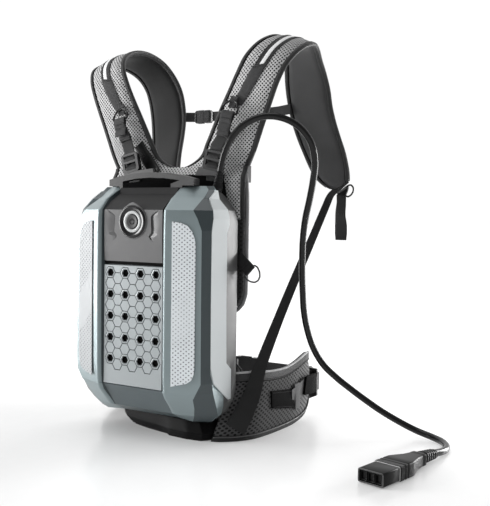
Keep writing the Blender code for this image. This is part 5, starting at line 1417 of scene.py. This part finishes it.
def wing(tag, s, bottom):
    n = 110
    b, t, inn, up, H = wing_axes(bottom, n)
    dist = arclen((b + t) / 2)
    lanes = [0.0, 0.0008, 0.0030, 0.0060, 0.0085, 0.0094, 0.0105, 0.0140, 0.0200, 0.0280]
    frac = [0.36, 0.5, 0.64]
    tops = [0.0240, 0.0200, 0.0175, 0.0160, 0.0150, 0.0120, 0.0070, 0.0030, 0.0008, 0.0]
    P, U = [], []
    for a in range(n):
        h = H[a]
        vs = lanes + [h * f for f in frac] + [h - x for x in tops]
        # proud height of the outer face over the base surface, negative is sunk
        row, uu = [], []
        endf = min(1.0, min(dist[a], dist[-1] - dist[a]) / 0.010)
        for v in vs:
            e, g = v, h - v
            if g < 0.0165:
                o_ = float(np.interp(g, [0, 0.0008, 0.0030, 0.0120, 0.0150, 0.0165], [0.0040, 0.0016, 0.0008, 0.0008, 0.0012, 0.0024]))
            else:
                o_ = float(np.interp(e, [0, 0.0008, 0.0030, 0.0085, 0.0094, 0.0105, 0.0200, 0.0400], [0.0040, 0.0018, 0.0010, 0.0010, 0.0018, 0.0022, 0.0004, -0.0006]))
                o_ = min(o_, 0.0024) if g > 0.03 else max(o_, float(np.interp(g, [0.0165, 0.03], [0.0024, -0.0004])))
            o_ += (1 - endf) * 0.0030
            row.append(b[a] + up[a] * v + inn[a] * o_)
            uu.append(v)
        for v in reversed(vs):
            g = min(v, h - v)
            o_ = BELT_T - float(np.interp(g, [0, 0.0008, 0.0030, 0.0085, 0.0100, 0.0110, 0.0250], [0.0040, 0.0016, 0.0008, 0.0010, 0.0026, 0.0022, 0.0]))
            o_ -= (1 - endf) * 0.0030
            row.append(b[a] + up[a] * v + inn[a] * o_)
            uu.append(v)
        row = np.array(row)
        row[:, 2] = np.maximum(row[:, 2], 0.0002)
        row[:, 0] *= s
        P.append(row)
        U.append(uu + [uu[0]])
    m = len(lanes) + len(frac) + len(tops)
    k = len(lanes)
    face = [4] * 4 + [2] * 2 + [0] * (m - 1 - 6 - 7) + [2] + [1] * 6
    back = [1] * 6 + [2] + [3] * (m - 1 - 7 - 6) + [2] * 2 + [1] * 4
    cols = face + [1] + back + [1]
    ob = skin("belt_wing_" + tag, P, ["wingmesh", "border", "seam_shade", "lining", "web"], cols, np.array(U), dist)
    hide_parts("hip_belt_" + tag)
    # piping along the top edge and above the bottom edge
    tp = t + up * 0.0004 + inn * 0.0020
    tp[:, 0] *= s
    tube("belt_piping_top_" + tag, tp, 0.0021, "piping", 10)
    bp = b + up * 0.0092 + inn * 0.0002
    bp[:, 0] *= s
    tube("belt_piping_low_" + tag, bp, 0.0013, "rim", 10)
    st = t - up * 0.0136 + inn * 0.0008
    st[:, 0] *= s
    nn = -inn.copy()
    nn[:, 0] *= s
    stitches("belt_stitch_top_" + tag, st[1:-1], nn[1:-1], lift=0.0002)


wing("left", -1, BOT_LIFTED)
wing("right", 1, BOT)


def on_wing(b, t, inn, y, z, lift):
    """Point on the outer face of a wing at height z and depth y."""
    a = 0.5 * len(b)
    f = 0.5
    at = np.arange(len(b))
    for _ in range(8):
        bb = np.array([np.interp(a, at, b[:, k]) for k in range(3)])
        tt = np.array([np.interp(a, at, t[:, k]) for k in range(3)])
        f = (z - bb[2]) / (tt[2] - bb[2])
        a = float(np.interp(y, b[:, 1] + (t[:, 1] - b[:, 1]) * f, at))
    n_ = np.array([np.interp(a, at, inn[:, k]) for k in range(3)])
    return bb + (tt - bb) * f - n_ * lift


for tag, s in (("left", -1), ("right", 1)):
    # square patch and keeper that hold the belt webbing to the wing
    b, t, inn, up, H = wing_axes(BOT if s > 0 else BOT_LIFTED, 120)

    def sheet(name, corners, lift, mat, nu=14, nv=6):
        q00, q01, q11, q10 = [np.array(c, float) for c in corners]
        P, U = [], []
        for i in range(nu):
            e = i / (nu - 1.0)
            lo, hi = q00 + (q10 - q00) * e, q01 + (q11 - q01) * e
            row = []
            uu = []
            for j in range(nv):
                y, z = lo + (hi - lo) * j / (nv - 1.0)
                edge = 0.0006 if i in (0, nu - 1) or j in (0, nv - 1) else 0.0
                row.append(on_wing(b, t, inn, y, z, lift - edge))
                uu.append(z)
            for j in reversed(range(nv)):
                y, z = lo + (hi - lo) * j / (nv - 1.0)
                row.append(on_wing(b, t, inn, y, z, -0.0006))
                uu.append(z)
            row = np.array(row)
            row[:, 0] *= s
            P.append(row)
            U.append(uu + [uu[0]])
        return skin(name, P, [mat], None, np.array(U), arclen(np.array(P).mean(axis=1)), angle=50)

    sheet("belt_patch_" + tag, [(0.0425, 0.0470), (0.0435, 0.0780), (0.1160, 0.0700), (0.1180, 0.0340)], 0.0044, "webdeep")
    sheet("belt_keeper_" + tag, [(0.1200, 0.0300), (0.1190, 0.0780), (0.1370, 0.0790), (0.1380, 0.0330)], 0.0062, "beltgrey", 6, 8)
    for q, (y0_, y1_, za, zb) in enumerate(((0.0450, 0.1130, 0.0745, 0.0672), (0.0450, 0.1130, 0.0492, 0.0378))):
        ln = np.array([on_wing(b, t, inn, y0_ + (y1_ - y0_) * e, za + (zb - za) * e, 0.0046) for e in np.linspace(0, 1, 30)])
        ln[:, 0] *= s
        nn = np.repeat([[s * 1.0, 0.0, 0.0]], 30, axis=0)
        stitches("belt_patch_stitch_%s_%d" % (tag, q), ln, nn, lift=0.0003)

# ------------------------------------------------------------------ foot
TRAY = [(-0.1090, -0.0240), (-0.0920, -0.0400), (-0.0560, -0.0510), (-0.0040, -0.0620), (0.0380, -0.0700), (0.0785, -0.0740), (0.1090, -0.0700), (0.1180, -0.0600), (0.1290, -0.0370),
        (0.1300, 0.0250), (0.1180, 0.0360), (-0.0920, 0.0360), (-0.1090, 0.0250)]


def tray_ring(k, wide, z):
    return [(x * k - (wide if x < 0 else 0.0), y * k + 0.0140 * (k - 1), z) for x, y in TRAY]


def tray_at(z):
    zs = [0.0, 0.004, 0.014, 0.0335]
    return float(np.interp(z, zs, [0.955, 0.985, 1.0, 0.90])), float(np.interp(z, zs, [-0.030, -0.022, -0.010, 0.008]))


rows = []
for z, dk in ((0.0, -0.004), (0.0012, 0.0), (0.0040, 0.0), (0.0046, -0.006), (0.0056, -0.006), (0.0062, 0.0), (0.0100, 0.0), (0.0106, -0.005), (0.0114, -0.005), (0.0120, 0.0), (0.0140, 0.0), (0.0200, 0.0), (0.0325, 0.0), (0.0335, -0.006)):
    k, wide = tray_at(z)
    ring0 = tray_ring(k + dk, -wide * -1.0 if False else wide, z)
    dense = []
    for i in range(len(ring0)):
        a, b, c, d = [np.array(ring0[(i + j - 1) % len(ring0)]) for j in range(4)]
        for t in np.linspace(0, 1, 5, endpoint=False):
            dense.append(tuple(b + (c - b) * t))
    rows.append(dense)
tr = skin("foot_moulding", rows, ["tray"], smooth=False)
soften(tr, 0.0006, 2, 22)
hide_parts("base_tray")

# ------------------------------------------------------------------ pads
PAD_R = [(0.0500, 0.2180), (0.1150, 0.2190), (0.1320, 0.2260), (0.1440, 0.2390), (0.1495, 0.2560), (0.1505, 0.2800), (0.1505, 0.3400), (0.1505, 0.4000), (0.1500, 0.4350), (0.1485, 0.4550), (0.1470, 0.4720)]
PAD = PAD_R + [(-x, z) for x, z in reversed(PAD_R)]
LUM = [(-0.1300, 0.0480), (0.1300, 0.0480), (0.1400, 0.0620), (0.1400, 0.1180), (0.1250, 0.1300), (-0.1250, 0.1300), (-0.1400, 0.1180), (-0.1400, 0.0620)]


def cushion(name, outline, y0, y1, cap, node_name, channels, mat):
    """Padded panel: inflated by cloth pressure, then sewn channels pressed into it."""
    o = np.array(outline, float)
    c = (o.max(0) + o.min(0)) / 2
    rows = []
    for k, y in ((0.975, y0), (0.990, y0 + 0.003), (0.990, y1 - 0.006), (0.95, y1 - 0.001), (0.93, y1)):
        rows.append([(c[0] + (x - c[0]) * k, y, c[1] + (z - c[1]) * k) for x, z in outline])
    ob = skin(name, rows, [mat], smooth=True)
    rm = ob.modifiers.new("r", 'REMESH')
    rm.mode = 'VOXEL'
    rm.voxel_size = 0.0050
    bpy.context.view_layer.update()
    me = bpy.data.meshes.new_from_object(ob.evaluated_get(bpy.context.evaluated_depsgraph_get()))
    ob.modifiers.remove(rm)
    ob.data = me
    me.materials.clear()
    me.materials.append(M[mat])
    n = len(me.vertices)
    base = np.empty(n * 3)
    me.vertices.foreach_get("co", base)
    base = base.reshape(-1, 3)
    moved = base.copy()
    cl = ob.modifiers.new("c", 'CLOTH')
    cl.settings.quality = 5
    cl.settings.mass = 0.25
    cl.settings.tension_stiffness = 12
    cl.settings.compression_stiffness = 12
    cl.settings.shear_stiffness = 6
    cl.settings.bending_stiffness = 0.6
    cl.settings.use_pressure = True
    cl.settings.uniform_pressure_force = 4.0
    cl.settings.effector_weights.gravity = 0.0
    cl.collision_settings.use_collision = False
    sc = bpy.context.scene
    sc.frame_start, sc.frame_end = 1, 20
    cl.point_cache.frame_start, cl.point_cache.frame_end = 1, 20
    for f in range(1, 21):
        sc.frame_set(f)
    dg = bpy.context.evaluated_depsgraph_get()
    ev = ob.evaluated_get(dg)
    if len(ev.data.vertices) == n:
        moved = np.empty(n * 3)
        ev.data.vertices.foreach_get("co", moved)
        moved = moved.reshape(-1, 3)
    ob.modifiers.remove(cl)
    sc.frame_set(1)
    d = moved - base
    l = np.linalg.norm(d, axis=1, keepdims=True)
    d = d * np.minimum(1.0, cap / np.maximum(l, 1e-9))
    p = base + d
    # keep the frame side flat and the wearer's side crowned
    f = np.clip((base[:, 1] - y0) / (y1 - y0), 0, 1)
    p[:, 1] = np.where(f < 0.15, base[:, 1], p[:, 1])
    ex = np.minimum(1.0, (c[0] + (o[:, 0].max() - c[0]) - np.abs(p[:, 0])) / 0.040)
    ez = np.minimum(1.0, np.minimum(o[:, 1].max() - p[:, 2], p[:, 2] - o[:, 1].min()) / 0.040)
    crown = np.clip(np.minimum(ex, ez), 0, 1)
    p[:, 1] += np.where(f > 0.6, (np.sqrt(crown) - 0.75) * 0.0050, 0.0)
    for ch in channels:
        sink = ch(p[:, 0], p[:, 2])
        p[:, 1] -= np.where(f > 0.4, sink, 0.0)
    me.vertices.foreach_set("co", p.ravel())
    me.update()
    sb = ob.modifiers.new("s", 'SUBSURF')
    sb.levels = sb.render_levels = 1
    me.shade_smooth()
    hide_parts(node_name)
    return ob


def groove_v(x0, wid=0.0045, deep=0.0060, z0=-9, z1=9):
    return lambda x, z: deep * np.exp(-((np.abs(x) - x0) / wid) ** 2) * ((z > z0) & (z < z1))


def groove_h(z0, wid=0.0045, deep=0.0060, xm=9):
    return lambda x, z: deep * np.exp(-((z - z0) / wid) ** 2) * (np.abs(x) < xm)


cushion("back_cushion", PAD, -0.0042, 0.0225, 0.0045, "back_pad", [groove_v(0.022), groove_v(0.100, z0=0.25), groove_h(0.300, xm=0.2), groove_h(0.365, xm=0.2), groove_h(0.430, xm=0.2)], "padmesh")
cushion("lumbar_cushion", LUM, -0.0042, 0.0235, 0.0045, "lumbar_pad", [groove_v(0.045)], "padmesh")


def edge_loop(outline, y, k=1.0, n=160):
    p = np.array([(x * k, y, z) for x, z in outline] + [(outline[0][0] * k, y, outline[0][1])])
    s_ = arclen(p)
    at = np.linspace(0, s_[-1], n, endpoint=False)
    return np.stack([np.interp(at, s_, p[:, j]) for j in range(3)], axis=1)


tube("back_piping", edge_loop(PAD, 0.0040, 1.0), 0.0038, "padpipe", 10, True, "pack", False, 1.0, (0, 1, 0))
tube("lumbar_piping", edge_loop(LUM, 0.0090, 1.0), 0.0018, "bind", 10, True, "pack", False, 1.0, (0, 1, 0))

# ------------------------------------------------------------------ accessory ring
d = unit(np.array([0.72, 0.0, -0.69]))
w = unit(np.array([0.69, 0.0, 0.72]))
hub = np.array([0.1640, -0.0080, 0.3000])
pth = [hub - d * 0.0345 + np.array((0, 0.0008, 0)), hub - d * 0.0170 + np.array((0, -0.0003, 0)), hub - d * 0.0040 + np.array((0, -0.0010, 0)), hub + d * 0.0016 + np.array((0, -0.0014, 0)),
       hub + d * 0.0024 + np.array((0, 0.0012, 0)), hub - d * 0.0020 + np.array((0, 0.0026, 0)), hub - d * 0.0180 + np.array((0, 0.0018, 0))]
tb = band("ring_tab_band", spline(pth, 40), tuple(w), 0.0220, 0.0016, "web")
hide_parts("side_ring_tab")
stitches("ring_tab_stitch", [hub - d * 0.0120 + w * x + np.array((0, -0.0016, 0)) for x in np.linspace(-0.0095, 0.0095, 9)], (0, -1, 0), lift=0.0002)
loop = [hub - w * 0.0135, hub + w * 0.0135]
for a in (10, 35, 62, 90, 118, 145, 170):
    loop.append(hub + w * 0.0158 * math.cos(math.radians(a)) + d * (0.0030 + 0.0215 * math.sin(math.radians(a))))
sr = d_ring("accessory_ring", loop, 0.0015, "steel", "side_d_ring", 120, 0.30)
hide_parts("side_d_ring")

# ------------------------------------------------------------------ floor and light
v, f = [(-60, -60, 0), (60, -60, 0), (60, 60, 0), (-60, 60, 0)], [(0, 1, 2, 3)]
floor = make("floor", v, f, "floor", smooth=False, body=None)
fb = M["floor"].node_tree.nodes["Principled BSDF"]
# painted light: the floor glows, brighter towards the back and right, and lifted round the pack to lighten its shadow
fb.inputs["Emission Color"].default_value = (1.0, 1.0, 1.0, 1.0)
fo = xyz(M["floor"].node_tree, coords(M["floor"].node_tree))
ft = M["floor"].node_tree
nx, ny = calc(ft, 'SUBTRACT', fo[0], 0.20), calc(ft, 'ADD', fo[1], 0.27)
shadow_lift_near = ramp(ft, calc(ft, 'SQRT', calc(ft, 'ADD', calc(ft, 'MULTIPLY', nx, nx), calc(ft, 'MULTIPLY', ny, ny))), 0.05, 0.36, 0.17, 0.0, True)
ft.links.new(calc(ft, 'ADD', ramp(ft, fo[1], -0.15, 0.30, 0.0, 0.34, True), calc(ft, 'ADD', ramp(ft, fo[0], -0.15, 0.35, 0.03, 0.17, True), shadow_lift_near)), fb.inputs["Emission Strength"])
world = bpy.data.worlds.new("studio")
world.use_nodes = True
wt = world.node_tree
wd_ = xyz(wt, coords(wt, "Generated"))


def toward(x, y, z, lo, hi):
    d_ = calc(wt, 'ADD', calc(wt, 'ADD', calc(wt, 'MULTIPLY', wd_[0], x), calc(wt, 'MULTIPLY', wd_[1], y)), calc(wt, 'MULTIPLY', wd_[2], z))
    return ramp(wt, d_, lo, hi, 0.0, 1.0, True)


# soft studio surround: bright wall behind and to the left, dimmer in front and to the right
wall = toward(-0.42, 0.90, 0.0, 0.10, 0.78)
lefts = toward(-0.95, -0.25, 0.0, 0.35, 0.95)
overhead = toward(0.0, 0.0, 1.0, 0.35, 0.95)
level = calc(wt, 'ADD', calc(wt, 'MULTIPLY', wall, 0.72), calc(wt, 'ADD', calc(wt, 'MULTIPLY', lefts, 0.25), calc(wt, 'MULTIPLY', overhead, 0.05)))
level = calc(wt, 'ADD', level, 0.30)
wt.links.new(join(wt, level, level, level), wt.nodes["Background"].inputs[0])
bpy.context.scene.world = world
sun = bpy.data.lights.new("sky_panel", 'SUN')
sun.energy = 0.80
sun.angle = math.radians(50)
so = bpy.data.objects.new("sky_panel", sun)
so.rotation_euler = V((0.35, 0.10, -1.0)).to_track_quat('-Z', 'Y').to_euler()
bpy.context.scene.collection.objects.link(so)


def softbox(name, at, look, size, power, colour=(1, 1, 1)):
    l = bpy.data.lights.new(name, 'AREA')
    l.shape = 'RECTANGLE'
    l.size, l.size_y = size
    l.energy = power
    l.color = colour
    o = bpy.data.objects.new(name, l)
    bpy.context.scene.collection.objects.link(o)
    o.location = at
    o.rotation_euler = (V(look) - V(at)).to_track_quat('-Z', 'Y').to_euler()
    o.visible_camera = False
    return o


softbox("key_left", (-2.10, -1.20, 0.45), (0.0, 0.0, 0.25), (1.1, 1.5), 76)
softbox("edge_right", (1.40, 2.10, 0.42), (0.15, 0.12, 0.20), (0.7, 1.1), 42)
bpy.context.scene.view_settings.view_transform = 'Standard'
bpy.context.scene.view_settings.look = 'None'
